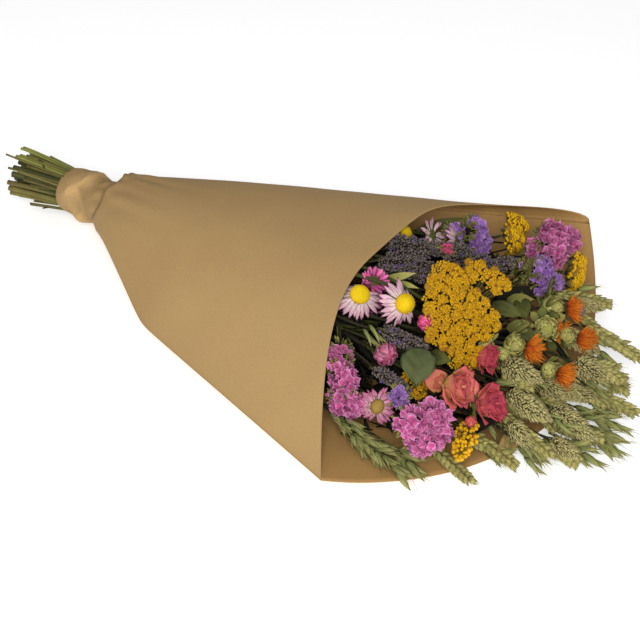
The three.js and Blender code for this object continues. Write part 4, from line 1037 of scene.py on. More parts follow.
# Plants: the stem's node, the branching point, then the heads: node, bloom, place and facing.
PLANTS = [
    ("yarrow_stem_1", 1, [
        ("yarrow_1", yarrow_bloom(33, 33, 2.12, 8.2, 1, BIG_DOMES, 1.02),
         (387, -23, 90), (0.56, -0.48, 0.68)),
    ]),
    ("yarrow_stem_2", 1, [
        ("yarrow_2", yarrow_bloom(20, 19.5, 1.95, 9, 2, THREE_DOMES, 1.5, 0.9),
         (358, 120, 70), (0.89, 0.32, 0.3)),
    ]),
    ("yarrow_stem_3", 1, [
        ("yarrow_3", yarrow_bloom(20, 19.5, 1.95, 9, 3, TWO_DOMES, 1.5, 0.7),
         (422, 116, 56), (0.93, 0.31, 0.1)),
    ]),
    ("yarrow_stem_4", 1, [
        ("yarrow_4", yarrow_bloom(13, 13, 2.4, 6.5, 4, ONE_DOME, 1.1), (374, -76, 48), (0.67, -0.37, 0.6)),
    ]),
    ("daisy_stem_1", 1, [
        ("daisy_petals_1", daisy_bloom(11, 17, -7, 11, (183, 372)), (296, -31, 86), (0.42, -0.34, 0.84)),
    ]),
    ("daisy_stem_2", 1, [
        ("daisy_petals_2", daisy_bloom(11, 16, -7, 12, (75, 300)), (342, -39, 93), (0.71, -0.42, 0.55)),
    ]),
    ("daisy_stem_3", 1, [
        ("daisy_petals_3", daisy_bloom(9, 14, -5, 13, (-70, 120)), (276, 74, 66), (0.78, 0.23, 0.55)),
    ]),
    ("daisy_stem_4", 1, [
        ("daisy_petals_4", daisy_bloom(9, 13, 3, 14, (-100, 70)), (359, -107, 42), (0.76, -0.42, 0.45)),
    ]),
    ("daisy_stem_5", 1, [
        ("daisy_petals_5", daisy_bloom(9, 15, 6, 15), (292, -8, 70), (0.91, 0.11, 0.4)),
    ]),
    ("pink_statice_stem_1", 3, [
        ("pink_statice_2", statice_bloom(22, 40, STATICE_2, 22), (411, -118, 50), (0.71, -0.47, 0.5)),
        ("pink_statice_1", statice_bloom(12, 66, STATICE_1, 21), (326, -101, 50), (0.61, -0.72, -0.25)),
    ]),
    ("pink_statice_stem_2", 1, [
        ("pink_statice_3", statice_bloom(18, 34, STATICE_3, 23), (394, 127, 68), (0.83, 0.27, 0.5)),
    ]),
    ("purple_statice_stem", 3, [
        ("purple_statice_2", statice_bloom(14, 26, PURPLE_2, 25, 3.9, 0.1),
         (401, 90, 62), (0.83, 0.32, 0.4)),
        ("purple_statice_1", statice_bloom(17, 26, PURPLE_1, 24, 3.9, -0.1),
         (332, 99, 68), (0.85, 0.47, 0.1)),
    ]),
    ("lavender_1", 2, [
        (None, lavender_bloom(31, 44, 5), (352, 55, 80), (0.86, 0.42, 0.2)),
        (None, lavender_bloom(32, 44, 5), (301, 32, 76), (0.89, 0.37, 0.2)),
    ]),
    ("lavender_2", 2, [
        (None, lavender_bloom(33, 42), (341, 20, 78), (0.94, 0.21, 0.12)),
        (None, lavender_bloom(34, 40), (299, 6, 72), (0.95, 0.16, 0.12)),
    ]),
    ("lavender_3", 1, [(None, lavender_bloom(35, 34), (369, 69, 72), (0.75, 0.53, 0.3))]),
    ("lavender_4", 2, [
        (None, lavender_bloom(36, 48, 5), (353, -59, 72), (0.97, -0.14, 0.1)),
        (None, lavender_bloom(37, 36, 4.5), (357, -84, 52), (0.95, -0.21, 0.05)),
    ]),
    ("rose_stem", 4, [
        ("rose_1", rose_bloom(13, 22, 41), (421, -78, 72), (0.69, -0.37, 0.6)),
        ("rose_2", rose_bloom(12, 21, 42), (446, -79, 62), (0.87, -0.18, 0.45)),
        ("rose_bud", rose_bloom(9, 17, 43), (419, -36, 62), (0.91, 0.06, 0.3)),
        (None, leaf_bloom(33, 24, 44, (34, 29), "sage_leaf", SAGE_TIP), (383, -84, 77), (0.44, -0.66, 0.1)),
        (None, leaf_bloom(26, 14, 45), (386, -54, 66), (0.7, -0.2, 0.3)),
    ]),
    ("strawflower_stem", 3, [
        ("strawflower_1", bud_bloom(9.5, 19, 46), (345, -68, 62), (0.65, -0.51, 0.4)),
        ("strawflower_2", bud_bloom(7, 15, 47), (364, -43, 86), (0.71, -0.47, 0.5)),
    ]),
    ("safflower_stem_1", 4, [
        ("safflower_1", safflower_bloom(10, 15, 10.5, 51), (449, 66, 62), (0.89, 0.37, 0.1)),
        ("safflower_2", safflower_bloom(10, 15, 8, 52), (468, 50, 50), (0.92, 0.21, 0.05)),
        (None, leaf_bloom(34, 14, 48), (392, 64, 46), (0.9, 0.1, 0.3)),
    ]),
    ("safflower_stem_2", 4, [
        ("safflower_3", safflower_bloom(9, 14, 9.5, 53), (448, -9, 66), (0.93, 0.06, 0.15)),
        ("safflower_4", safflower_bloom(9, 14, 7, 54), (475, -4, 54), (0.96, 0.03, 0.05)),
        (None, leaf_bloom(22, 13, 49), (416, 26, 56), (0.85, 0.1, 0.5)),
    ]),
    ("helichrysum_stem", 1, [
        ("helichrysum", helichrysum_bloom(9, 44, 55), (436, -100, 41), (0.21, -0.92, -0.22)),
    ]),
    ("phalaris_1", 3, [
        (None, canary_bloom(61, 38), (445, -30, 58), (0.97, -0.07, 0.02)),
        (None, canary_bloom(62, 38), (488, 20, 42), (0.96, 0.11, -0.1)),
    ]),
    ("phalaris_2", 3, [
        (None, canary_bloom(63, 44), (467, -36, 48), (0.97, -0.09, -0.1)),
        (None, canary_bloom(64, 46), (493, -37, 32), (0.95, -0.11, -0.15)),
        (None, canary_bloom(65, 30, 7), (499, -45, 18), (0.97, -0.09, -0.05)),
    ]),
    ("wheat_1", 2, [
        (None, wheat_bloom(71, 62), (472, -59, 30), (0.91, -0.21, -0.2)),
        (None, wheat_bloom(72, 60), (450, -73, 13), (0.93, -0.24, 0)),
    ]),
    ("wheat_2", 1, [(None, wheat_bloom(73, 50), (432, -106, 12), (0.91, -0.34, 0))]),
    ("wheat_3", 2, [
        (None, wheat_bloom(74, 52), (443, 100, 48), (0.96, 0.25, 0)),
        (None, wheat_bloom(75, 60), (489, 68, 42), (0.94, 0.06, -0.3)),
    ]),
    ("wheat_4", 2, [
        (None, wheat_bloom(76, 52), (488, 42, 30), (0.96, 0.11, -0.05)),
        (None, wheat_bloom(77, 50), (512, 17, 32), (0.98, 0.01, -0.1)),
    ]),
    ("oat_1", 1, [(None, oat_bloom(80, 8, 0.35, 81), (377, -132, 19), (0.92, -0.33, 0.02))]),
    ("oat_2", 1, [(None, oat_bloom(62, 8, 0.7, 82), (513, -13, 20), (0.98, -0.07, -0.12))]),
]


# Paper, the same surfaces as in the solids.


def smoothstep(x, low, high):
    t = min(1, max(0, (x - low) / (high - low)))
    return t * t * (3 - 2 * t)


def lerp(a, b, t):
    return a + (b - a) * t


def side_of(across):
    return "far" if across > 0 else "near"


def middle(x):
    return NECK_Y * (1 - smoothstep(x, 0, 120))


def half_width(x, across):
    side = side_of(across)
    blend = 1.8
    flare = NECK_R + ((KINK_W[side] - NECK_R) / KINK_X[side]) * max(x, 0)
    slope = (SIDE_LIP_W[side] - KINK_W[side]) / (SIDE_LIP_X[side] - KINK_X[side])
    slow = KINK_W[side] + slope * (x - KINK_X[side])
    least = min(flare, slow)
    rest = math.exp((least - flare) / blend) + math.exp((least - slow) / blend)
    return max(NECK_R, least - blend * math.log(rest))


def top_lip(across):
    power = 9 if across > 0 else 2.1
    return TOP_LIP_X + (SIDE_LIP_X[side_of(across)] - TOP_LIP_X) * abs(across) ** power


def bottom_lip(across):
    power = 1.8 if across > 0 else 1.5
    return BOTTOM_LIP_X + (SIDE_LIP_X[side_of(across)] - BOTTOM_LIP_X) * abs(across) ** power


def crease_height(x, across):
    return NECK_Z + (SIDE_Z[side_of(across)] - NECK_Z) * smoothstep(x, 0, OPEN_X * 1.2)


def top_height(x, across):
    away = min(1, abs(across))
    opened = smoothstep(x, 0, OPEN_X)
    peak = NECK_Z + NECK_R + (TOP_Z - NECK_Z - NECK_R) * smoothstep(x, -20, 260)
    power = lerp(0.5, 0.34, smoothstep(x, 230, 395)) if across > 0 else 1.2
    crown = (1 - away * away) ** power
    crease = crease_height(x, across)
    return crease + (peak - crease) * lerp(math.sqrt(1 - away * away), crown, opened)


def bottom_height(x, across):
    away = min(1, abs(across))
    opened = smoothstep(x, 0, OPEN_X)
    flat = FLAT_SHARE[side_of(across)]
    belly = max(0, (away - flat) / (1 - flat)) ** (2 if across > 0 else 1.6)
    crease = crease_height(x, across)
    low = crease - (crease - NECK_Z + NECK_R) * math.sqrt(1 - away * away)
    return lerp(low, crease * belly, opened)


def cone_point(angle, share):
    across = math.cos(angle)
    is_top = math.sin(angle) >= 0
    lip = top_lip(across) if is_top else bottom_lip(across)
    start = CONE_START + CONE_SLANT * math.sin(angle)
    x = start + (lip - start) * share
    z = top_height(x, across) if is_top else bottom_height(x, across)
    return np.array([x, middle(x) + half_width(x, across) * across, z])


# Arrangement: heads that would cross are moved apart and stems are bent clear, by the same steps
# as in the solids, so that each head is dressed where its solid is.


def closest(a, b, c, d):
    """Where two lines come nearest, as a share of each, and the way from the first to the second."""
    ux, uy, uz = b[0] - a[0], b[1] - a[1], b[2] - a[2]
    vx, vy, vz = d[0] - c[0], d[1] - c[1], d[2] - c[2]
    wx, wy, wz = a[0] - c[0], a[1] - c[1], a[2] - c[2]
    uu = ux * ux + uy * uy + uz * uz
    uv = ux * vx + uy * vy + uz * vz
    vv = vx * vx + vy * vy + vz * vz
    uw = ux * wx + uy * wy + uz * wz
    vw = vx * wx + vy * wy + vz * wz
    slant = uu * vv - uv * uv
    s = min(1, max(0, (uv * vw - vv * uw) / slant)) if slant > 1e-6 else 0.5
    t = min(1, max(0, (uv * s + vw) / vv))
    s = min(1, max(0, (uv * t - uw) / uu))
    return s, t, (
        c[0] + vx * t - a[0] - ux * s,
        c[1] + vy * t - a[1] - uy * s,
        c[2] + vz * t - a[2] - uz * s,
    )


SIDE_SHARE = 0.95  # how far towards a crease of the paper anything may be


def across_at(x, y):
    aside = y - middle(x)
    return aside / half_width(x, aside)


def room(x, y, radius):
    """The lowest and the highest that something of that radius can be there."""
    across = across_at(x, y)
    inside = abs(across) < 1
    low = bottom_height(x, across) + PAPER if inside and x < bottom_lip(across) + radius else 1
    high = top_height(x, across) - PAPER if inside and x < top_lip(across) + radius else 1e3
    return low + radius + GAP, high - radius - GAP


def keep_inside(p, radius):
    """Moves the point into the paper, or above the ground where it is beyond the paper."""
    if p[0] < SIDE_LIP_X["far"] + radius:
        aside = p[1] - middle(p[0])
        side = -1 if aside < 0 else 1
        width = half_width(p[0], side) * SIDE_SHARE - radius - GAP
        p[1] = middle(p[0]) + side * min(width, abs(aside))
    low, high = room(p[0], p[1], radius)
    p[2] = min(high, max(low, p[2])) if high > low else (low + high) / 2


class Head:
    def __init__(self, plant, node, bloom, at, facing):
        self.plant = plant
        self.node = node
        self.bloom = bloom
        self.at = list(at)
        self.place = list(at)
        self.facing = unit(facing)
        self.matrix = facing_matrix(self.facing)
        self.rods = []
        for a, b, radius in bloom.rods:
            ends = [list(self.matrix @ np.array(p, float) + self.place) for p in (a, b)]
            self.rods.append((*ends, radius))
        self.reach = max(math.dist(p, self.place) + r for a, b, r in self.rods for p in (a, b))

    def shift(self, by):
        for p in (self.place, *(end for a, b, _ in self.rods for end in (a, b))):
            for k in range(3):
                p[k] += by[k]


def arrange(heads):
    """Pushes crossing heads apart. Until it is calm, each is drawn back to where it is wanted."""
    rounds = 160
    calm = 110
    push_share, paper_share, home_share = 0.3, 0.5, 0.04
    for k in range(rounds):
        for i, one in enumerate(heads):
            for other in heads[i + 1 :]:
                if math.dist(one.place, other.place) > one.reach + other.reach + MARGIN:
                    continue
                worst, push = 0, None
                for a, b, r in one.rods:
                    for c, d, q in other.rods:
                        apart = closest(a, b, c, d)[2]
                        length = math.hypot(*apart)
                        depth = r + q + MARGIN - length
                        if depth > worst:
                            worst = depth
                            push = [v / (length or 1) * depth * push_share for v in apart]
                if push:
                    one.shift([-v for v in push])
                    other.shift(push)
        for head in heads:
            for a, b, radius in head.rods:
                for end in (a, b):
                    kept = list(end)
                    keep_inside(kept, radius)
                    head.shift([(kept[n] - end[n]) * paper_share for n in range(3)])
            if k < calm:
                head.shift([(head.at[n] - head.place[n]) * home_share for n in range(3)])


def seeded(seed):
    """The same even draws from 0 to 1 as in the solids."""
    state = seed

    def draw():
        nonlocal state
        state = (state * 1664525 + 1013904223) & 0xFFFFFFFF
        return state / 4294967296

    return draw


class Plant:
    def __init__(self, stem, fork, heads):
        self.stem = stem
        self.fork = fork
        self.heads = [Head(self, *head) for head in heads]
        self.slot = None


def assign_slots(plants):
    """Gives each plant a place in the tight bundle that suits where its heads are."""
    spread_y, spread_z = 42, 130
    rounds = 12
    net = [(q, r) for q in range(-4, 5) for r in range(-4, 5)]
    slots = [(STEM_PITCH * (q + r / 2), STEM_PITCH * r * math.sqrt(3) / 2) for q, r in net]
    slots.sort(key=lambda s: math.hypot(*s) + 1e-3 * math.atan2(s[1], s[0]))
    slots = slots[: len(plants)]
    wanted = []
    for plant in plants:
        n = len(plant.heads)
        y = sum(h.place[1] / h.place[0] for h in plant.heads) / n
        z = sum((h.place[2] - BUNDLE_Z) / h.place[0] for h in plant.heads) / n
        wanted.append((y * spread_y, z * spread_z))

    def cost(i, s):
        return (wanted[i][0] - slots[s][0]) ** 2 + (wanted[i][1] - slots[s][1]) ** 2

    order = list(range(len(plants)))
    for _ in range(rounds):
        for i in range(len(order)):
            for j in range(i + 1, len(order)):
                now = cost(i, order[i]) + cost(j, order[j])
                if cost(i, order[j]) + cost(j, order[i]) < now - 1e-9:
                    order[i], order[j] = order[j], order[i]
    for plant, s in zip(plants, order):
        plant.slot = slots[s]


LEAD = 24  # length of the straight end of a stalk behind its head
STEP = 62  # greatest distance between the points of a stalk
FIXED = 4  # points from the cut end to the neck


def first_points(slot, draw):
    """The points of a plant's stalk from its cut end to the neck."""

    def at(x, grow, y=0.0, z=0.0):
        return [x, BUNDLE_Y + slot[0] * grow + y, BUNDLE_Z + slot[1] * grow + z]

    cut = CUT_X + CUT_SPREAD * (draw() - 0.5)
    grow = 1 + SPLAY * (TIE_X - cut)
    half = 1 + SPLAY * 30
    bend = (-8 + 7 * (draw() - 0.5), 5 * (draw() - 0.5))
    return [at(cut, grow, *bend), at(TIE_X - 32, half, -1, 0.3), at(TIE_X, 1), at(14, 1.06)]


def lead_to(head, start):
    """The points of a stalk from there to its head."""
    back = head.bloom.joint + (0 if head.bloom.fused or head.bloom.base else GAP)
    end = [head.place[k] - head.facing[k] * back for k in range(3)]
    before = [end[k] - head.facing[k] * LEAD for k in range(3)]
    steps = max(1, math.floor(math.dist(before, start) / STEP + 0.5))
    between = [[lerp(start[k], before[k], (i + 1) / steps) for k in range(3)] for i in range(steps - 1)]
    return [*between, before, end]


class Route:
    """A stalk: its points, how many of them keep their place, and its radii."""

    def __init__(self, plant, head, points, fixed, thick):
        self.plant = plant
        self.head = head
        self.points = points
        self.fixed = fixed
        thin = 0.95 if head.bloom.fused else 1.25
        count = len(points)
        self.radii = [lerp(thick, thin, max(0, (i - fixed + 1) / (count - fixed))) for i in range(count)]


def routes_of(plant, index):
    start = first_points(plant.slot, seeded(100 + index))
    main = [*start, *lead_to(plant.heads[0], start[-1])]
    fork = min(FIXED - 1 + plant.fork, len(main) - 3)
    routes = [Route(plant, plant.heads[0], main, FIXED, STEM_R)]
    for head in plant.heads[1:]:
        routes.append(Route(plant, head, [main[fork], *lead_to(head, main[fork])], 0, 1.3))
    return routes


class Segment:
    """A stretch of a stalk between two of its points."""

    def __init__(self, route, i):
        self.route = route
        self.i = i
        self.a = route.points[i]
        self.b = route.points[i + 1]
        self.radius = max(route.radii[i], route.radii[i + 1])
        self.held_a = 0 < i < route.fixed
        self.held_b = i + 1 < route.fixed or i + 2 == len(route.points)
        self.last = i + 3 >= len(route.points)

    def nudge(self, share, by):
        """Moves the stretch at that share of its length. Each end that isn't held takes its part."""
        for k in range(3):
            if not self.held_a:
                self.a[k] += by[k] * (1 - share)
            if not self.held_b:
                self.b[k] += by[k] * share


def bend_clear(routes, heads):
    """Bends the stalks clear of each other, of the heads and of the paper."""
    rounds = 400
    look_again = 8
    slack = 14
    stalk_share, head_share, ease_share = 0.5, 0.7, 0.04
    eased = rounds * 0.7
    segments = [Segment(route, i) for route in routes for i in range(len(route.points) - 1)]
    rods = [(a, b, r, head) for head in heads for a, b, r in head.rods]

    def boxes(ends, radii, more):
        low = np.minimum(ends[0], ends[1]) - radii[:, None] - more
        high = np.maximum(ends[0], ends[1]) + radii[:, None] + more
        return low, high

    def meets(a, b, c, d, reach):
        s, t, apart = closest(a, b, c, d)
        length = math.hypot(*apart)
        depth = reach - length
        if depth <= 0:
            return None
        if length < 1e-6:
            apart, length = (0, 0.3, 1), math.hypot(0, 0.3, 1)
        return s, t, [v / length * depth for v in apart]

    near, near_rods = [], []
    for k in range(rounds):
        if k % look_again == 0:
            ends = [np.array([s.a for s in segments]), np.array([s.b for s in segments])]
            low, high = boxes(ends, np.array([s.radius for s in segments]), slack)
            ends = [np.array([r[0] for r in rods]), np.array([r[1] for r in rods])]
            rod_low, rod_high = boxes(ends, np.array([r[2] for r in rods]), MARGIN)
            near, near_rods = [], []
            for i, one in enumerate(segments):
                hit = ~((low[i] > high[i + 1 :]) | (high[i] < low[i + 1 :])).any(1)
                picked = [segments[j] for j in np.nonzero(hit)[0] + i + 1]
                near.append([other for other in picked if other.route.plant is not one.route.plant])
                hit = ~((low[i] > rod_high) | (high[i] < rod_low)).any(1)
                picked = [rods[j] for j in np.nonzero(hit)[0]]
                near_rods.append([
                    rod
                    for rod in picked
                    if not (rod[3] is one.route.head and one.last)
                    and not (rod[3].bloom.fused and rod[3].plant is one.route.plant)
                ])
        for i, one in enumerate(segments):
            for other in near[i]:
                met = meets(one.a, one.b, other.a, other.b, one.radius + other.radius + MARGIN)
                if met:
                    other.nudge(met[1], [v * stalk_share for v in met[2]])
                    one.nudge(met[0], [v * -stalk_share for v in met[2]])
            for a, b, radius, _ in near_rods[i]:
                met = meets(one.a, one.b, a, b, one.radius + radius + MARGIN)
                if met:
                    one.nudge(met[0], [v * -head_share for v in met[2]])
        for route in routes:
            points = route.points
            for i in range(max(route.fixed, 1), len(points) - 1):
                if k < eased and i < len(points) - 2:
                    for n in range(3):
                        even = (points[i - 1][n] + points[i + 1][n]) * 0.5
                        points[i][n] += (even - points[i][n]) * ease_share
                keep_inside(points[i], route.radii[i])


plants = [Plant(*row) for row in PLANTS]
heads = [head for plant in plants for head in plant.heads]
arrange(heads)
assign_slots(plants)
routes = [route for i, plant in enumerate(plants) for route in routes_of(plant, i)]
bend_clear(routes, heads)


# Finishes


def linear(code):
    """A colour from its six digit code, as the shaders take it."""
    values = [int(code[i : i + 2], 16) / 255 for i in (0, 2, 4)]
    return [v / 12.92 if v <= 0.04045 else ((v + 0.055) / 1.055) ** 2.4 for v in values] + [1]


class Finish:
    """A matt dry surface: colour along each element, its tone, blotches and a fine grain."""

    def __init__(
        self, name, stops, rough=0.8, tone=0.3, hue=0.02, blotch=0.25, size=6, grain=0.9, depth=0.15
    ):
        self.material = bpy.data.materials.new(name)
        self.material.use_nodes = True
        self.tree = self.material.node_tree
        shader = self.tree.nodes["Principled BSDF"]
        shader.inputs["Roughness"].default_value = rough
        shader.inputs["Specular IOR Level"].default_value = 0.3
        shader.inputs["Sheen Weight"].default_value = 0
        along = self.attribute("along")
        ramp = self.node("ShaderNodeValToRGB")
        self.link(along, ramp.inputs["Fac"])
        elements = ramp.color_ramp.elements
        while len(elements) < len(stops):
            elements.new(0.5)
        for element, (position, colour) in zip(elements, stops):
            element.position = position
        for element, (position, colour) in zip(elements, stops):
            element.color = linear(colour)
        place = self.node("ShaderNodeTexCoord").outputs["Object"]
        patches = self.noise(place, 1000 / size, 3)
        fine = self.noise(place, 1000 / grain, 2)
        value = self.maths("MULTIPLY_ADD", self.attribute("tone"), tone, 1 - tone / 2)
        value = self.maths("ADD", value, self.maths("MULTIPLY_ADD", patches, blotch, -blotch / 2))
        value = self.maths("ADD", value, self.maths("MULTIPLY_ADD", fine, 0.24, -0.12))
        shift = self.maths("MULTIPLY_ADD", patches, 2 * hue, 0.5 - hue)
        adjust = self.node("ShaderNodeHueSaturation")
        self.link(ramp.outputs["Color"], adjust.inputs["Color"])
        self.link(value, adjust.inputs["Value"])
        self.link(shift, adjust.inputs["Hue"])
        self.link(adjust.outputs["Color"], shader.inputs["Base Color"])
        bump = self.node("ShaderNodeBump")
        bump.inputs["Strength"].default_value = 0.6
        bump.inputs["Distance"].default_value = depth * MM
        self.link(fine, bump.inputs["Height"])
        self.link(bump.outputs["Normal"], shader.inputs["Normal"])

    def node(self, kind):
        return self.tree.nodes.new(kind)

    def link(self, source, target):
        self.tree.links.new(source, target)

    def attribute(self, name):
        node = self.node("ShaderNodeAttribute")
        node.attribute_name = name
        return node.outputs["Fac"]

    def noise(self, place, scale, detail):
        node = self.node("ShaderNodeTexNoise")
        node.inputs["Scale"].default_value = scale
        node.inputs["Detail"].default_value = detail
        self.link(place, node.inputs["Vector"])
        return node.outputs["Fac"]

    def maths(self, operation, first, second, third=None):
        node = self.node("ShaderNodeMath")
        node.operation = operation
        for socket, value in zip(node.inputs, (first, second, third)):
            if isinstance(value, (int, float)):
                socket.default_value = value
            elif value is not None:
                self.link(value, socket)
        return node.outputs["Value"]


FINISHES = {}


def kraft(name, colour, fleck):
    """Kraft paper: soft painted shade from the shape's tone, fine fibres and dark flecks."""
    stops = [(0, colour), (1, colour)]
    made = Finish(name, stops, 0.75, tone=0.5, hue=0.004, blotch=0.1, size=60, grain=1.2, depth=0.05)
    place = made.node("ShaderNodeTexCoord").outputs["Object"]
    specks = made.noise(place, 900, 1)
    mask = made.maths("GREATER_THAN", specks, 0.71)
    mix = made.node("ShaderNodeMix")
    mix.data_type = "RGBA"
    shader = made.tree.nodes["Principled BSDF"]
    colour_from = shader.inputs["Base Color"].links[0].from_socket
    made.link(made.maths("MULTIPLY", mask, 0.35), mix.inputs["Factor"])
    made.link(colour_from, mix.inputs["A"])
    mix.inputs["B"].default_value = linear(fleck)
    made.link(mix.outputs["Result"], shader.inputs["Base Color"])
    FINISHES[name] = made.material


def plain(name, colours, at=None, **options):
    """Colours from the foot of each element to its tip, evenly spaced unless at says where."""
    codes = colours.split()
    at = at or [i / (len(codes) - 1) for i in range(len(codes))]
    FINISHES[name] = Finish(name, list(zip(at, codes)), **options).material


kraft("kraft_outer", "b1905f", "86694a")
kraft("kraft_inner", "aa834e", "7a5a36")
plain("twine", "7d6238 94784a", grain=0.5, depth=0.3)
# Stalks darken from the cut end towards the heads: the dark end, inside the paper, is painted shade.
plain("stem", "756b38 5f5c2f 3a361b 282412", tone=0.6, blotch=0.5, size=14, hue=0.03, depth=0.2)
plain("stem_dark", "565632 474827 2e2c17 242110", tone=0.6, blotch=0.5, size=14, hue=0.01, depth=0.2)
plain("stem_straw", "8e8f48 72753a 4e4f26 3a3a1c", tone=0.5, blotch=0.5, size=14, depth=0.2)
plain("leaf", "393a16 4e5022 666930", tone=0.4, blotch=0.3, size=8, rough=0.7, depth=0.3)
# Painted shade: near-black leaves among the stalks, in the deep shade under the flowers.
plain("shaded_leaf", "0e0d06 151307 1e170b", tone=0.9, hue=0.05, blotch=0.5, size=12)
plain("green", "515324 727035 968c4d", tone=0.45, blotch=0.4, depth=0.2)
plain("sage_leaf", "434b2a 515832 60683d", tone=0.3, hue=0.01, blotch=0.35, size=10, depth=0.3)
plain("rosy_petal", "d0aca8 c17e95 ba658a", tone=0.4, blotch=0.3, rough=0.6)
plain("pale_green", "80823b a4a053 bbb26f", tone=0.35, blotch=0.4, size=5, depth=0.3)
plain("dry_leaf", "7c683a 947e4d 806a3c", tone=0.4, blotch=0.4, size=6, depth=0.3)
plain("cup", "96690a 7a6228 4e4a24", tone=0.3, blotch=0.3)
# Painted shade: near black, for the cores that show between florets.
plain("shade", "200f08 200f08", tone=0.3)
plain("yarrow", "804700 ae7600 dcae06 d2a404 967205 6c560b", (0, 0.18, 0.34, 0.55, 0.8, 1),
      tone=0.3, hue=0.012, blotch=0.2, size=9, rough=0.85)
plain("disc", "cfa202 e2ba04 e8c708", tone=0.15, blotch=0.1)
plain("brown_disc", "5a3f1a 8a6c30 ae9044", tone=0.5, blotch=0.3)
plain("petal", "dccac2 dac1c0 d5aab6 ca8ba6", tone=0.2, blotch=0.12, rough=0.6, grain=0.6)
plain("deep_petal", "b0407f d9609f e384b4", tone=0.4, blotch=0.3, rough=0.6)
# The pink papery flowers are darkest at their foot: painted shade in each funnel and between the flowers.
plain("pink", "451226 94305f b04e80 cd88b2", tone=0.6, blotch=0.35, size=7, rough=0.75)
plain("hot_pink", "a21952 ce3472 db6e8f", tone=0.4, blotch=0.25, size=5)
# The purple ones too are darkest at their foot, as painted shade.
plain("purple", "4a2568 734090 8c60a6 aa84b8", tone=0.45, blotch=0.25, size=9, rough=0.75)
plain("lavender", "36302a 584d46 746962 423a34", tone=0.9, hue=0.05, blotch=0.4, size=5)
plain("lavender_lip", "553a74 79609a", tone=0.4)
plain("rose", "c6933d d49d59 d48461 cf6b62 b84251", (0, 0.3, 0.55, 0.85, 1),
      tone=-0.3, hue=0.012, blotch=0.25, size=7, rough=0.75, grain=1.4, depth=0.35)
plain("deep_rose", "bc6a41 c86257 c4545c a93046", (0, 0.35, 0.7, 1),
      tone=-0.3, hue=0.012, blotch=0.25, size=7, rough=0.75, grain=1.4, depth=0.35)
plain("bract_pink", "983259 bb567b cc87a1", tone=0.35, rough=0.5, blotch=0.3, size=4)
plain("orange", "7c2c03 c05606 d47a18", tone=0.5, blotch=0.3)
plain("gold_ball", "976b06 ca9306 d8a90e", tone=0.35, blotch=0.2)
plain("canary", "7a7342 aba268 cdbd88", tone=0.5, hue=0.02, blotch=0.25, size=12)
plain("wheat", "605f2e 8f8a4c aba263 847b43", tone=0.5, hue=0.02, blotch=0.35, size=6)
plain("oat", "565c2e 7f854b 9b995f 868048", tone=0.45, hue=0.02, blotch=0.3, size=5)


# Pieces

# Petals like crumpled tissue, which keep their facets.
CRUMPLED = ("pink", "purple")
# Leaves and ears that would be lower than this are pressed flat by what they lie on.
PRESSED = 4
LEAST_Z = 0.5


def piece(name, shape, finish, nodes):
    """A mesh in metres in the row's frame, which stands for the nodes."""
    shape = shape.filled(finish)
    if not name.startswith("paper"):
        z = shape.points[:, 2]
        pressed = LEAST_Z + (PRESSED - LEAST_Z) * np.exp((z - PRESSED) / PRESSED)
        shape.points[:, 2] = np.where(z < PRESSED, pressed, z)
    mesh = bpy.data.meshes.new(name + "_fine")
    points = (shape.points - (REST_X, 0, 0)) * MM
    mesh.from_pydata(points, [], shape.faces)
    for key in ("along", "tone"):
        layer = mesh.attributes.new(key, "FLOAT", "POINT")
        layer.data.foreach_set("value", getattr(shape, key).astype(np.float32))
    used, local = np.unique(shape.finish, return_inverse=True)
    for number in used:
        mesh.materials.append(FINISHES[FINISH_NAMES[number]])
    mesh.polygons.foreach_set("material_index", local.ravel().astype(np.int32))
    crumpled = np.isin(shape.finish, [finish_number(name) for name in CRUMPLED])
    mesh.polygons.foreach_set("use_smooth", ~crumpled)
    mesh.update()
    made = bpy.data.objects.new(name + "_fine", mesh)
    bpy.context.scene.collection.objects.link(made)
    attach(made, "root")
    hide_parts(*nodes)


def stalk(route, seed):
    """The fine form of a stalk, with swollen nodes along it, and its middle line."""
    draw = np.random.default_rng(seed)
    line = smooth_line(route.points, 9)
    spans = np.linalg.norm(np.diff(np.array(route.points), axis=0), axis=1)
    marks = np.concatenate([[0], np.cumsum(spans)])
    walked = np.concatenate([[0], np.cumsum(np.linalg.norm(np.diff(line, axis=0), axis=1))])
    radii = np.interp(walked / walked[-1], marks / marks[-1], route.radii)
    nodes = 1 + 0.12 * np.maximum(0, np.cos(walked / 37 + draw.uniform(0, TAU))) ** 12
    shape = tube(line, radii * nodes, 7, np.clip(walked / walked[-1], 0, 1))
    shape.tone[:] = draw.random()
    return shape, line


# Bounds of the shade under the flowers, where leaves and twigs are: along, up and to the far side.
SHADE_START = 225
SHADE_END = 470
SHADE_TOP = 66
SHADE_SIDE = 150
TWIGS = 0.16  # share of the growth in the shade that is twigs, not leaves
BROAD = 0.2  # share of it that is broad leaves


def in_room(point, radius=1.5):
    x, y, z = point
    if x < SIDE_LIP_X["far"] and abs(across_at(x, y)) > SIDE_SHARE:
        return False
    low, high = room(x, y, radius)
    return low <= z <= high


def is_free(point):
    """Whether a leaf in the shade can be there: inside the paper, low, and off the blooms."""
    x, y, z = point
    if not in_room(point) or z > SHADE_TOP or y > SHADE_SIDE:
        return False
    at_the_edge = x > bottom_lip(across_at(x, y)) - 8
    if at_the_edge and z < 26:
        return False
    return all(head.bloom.fused or math.dist(point, head.place) > 0.7 * head.reach for head in heads)


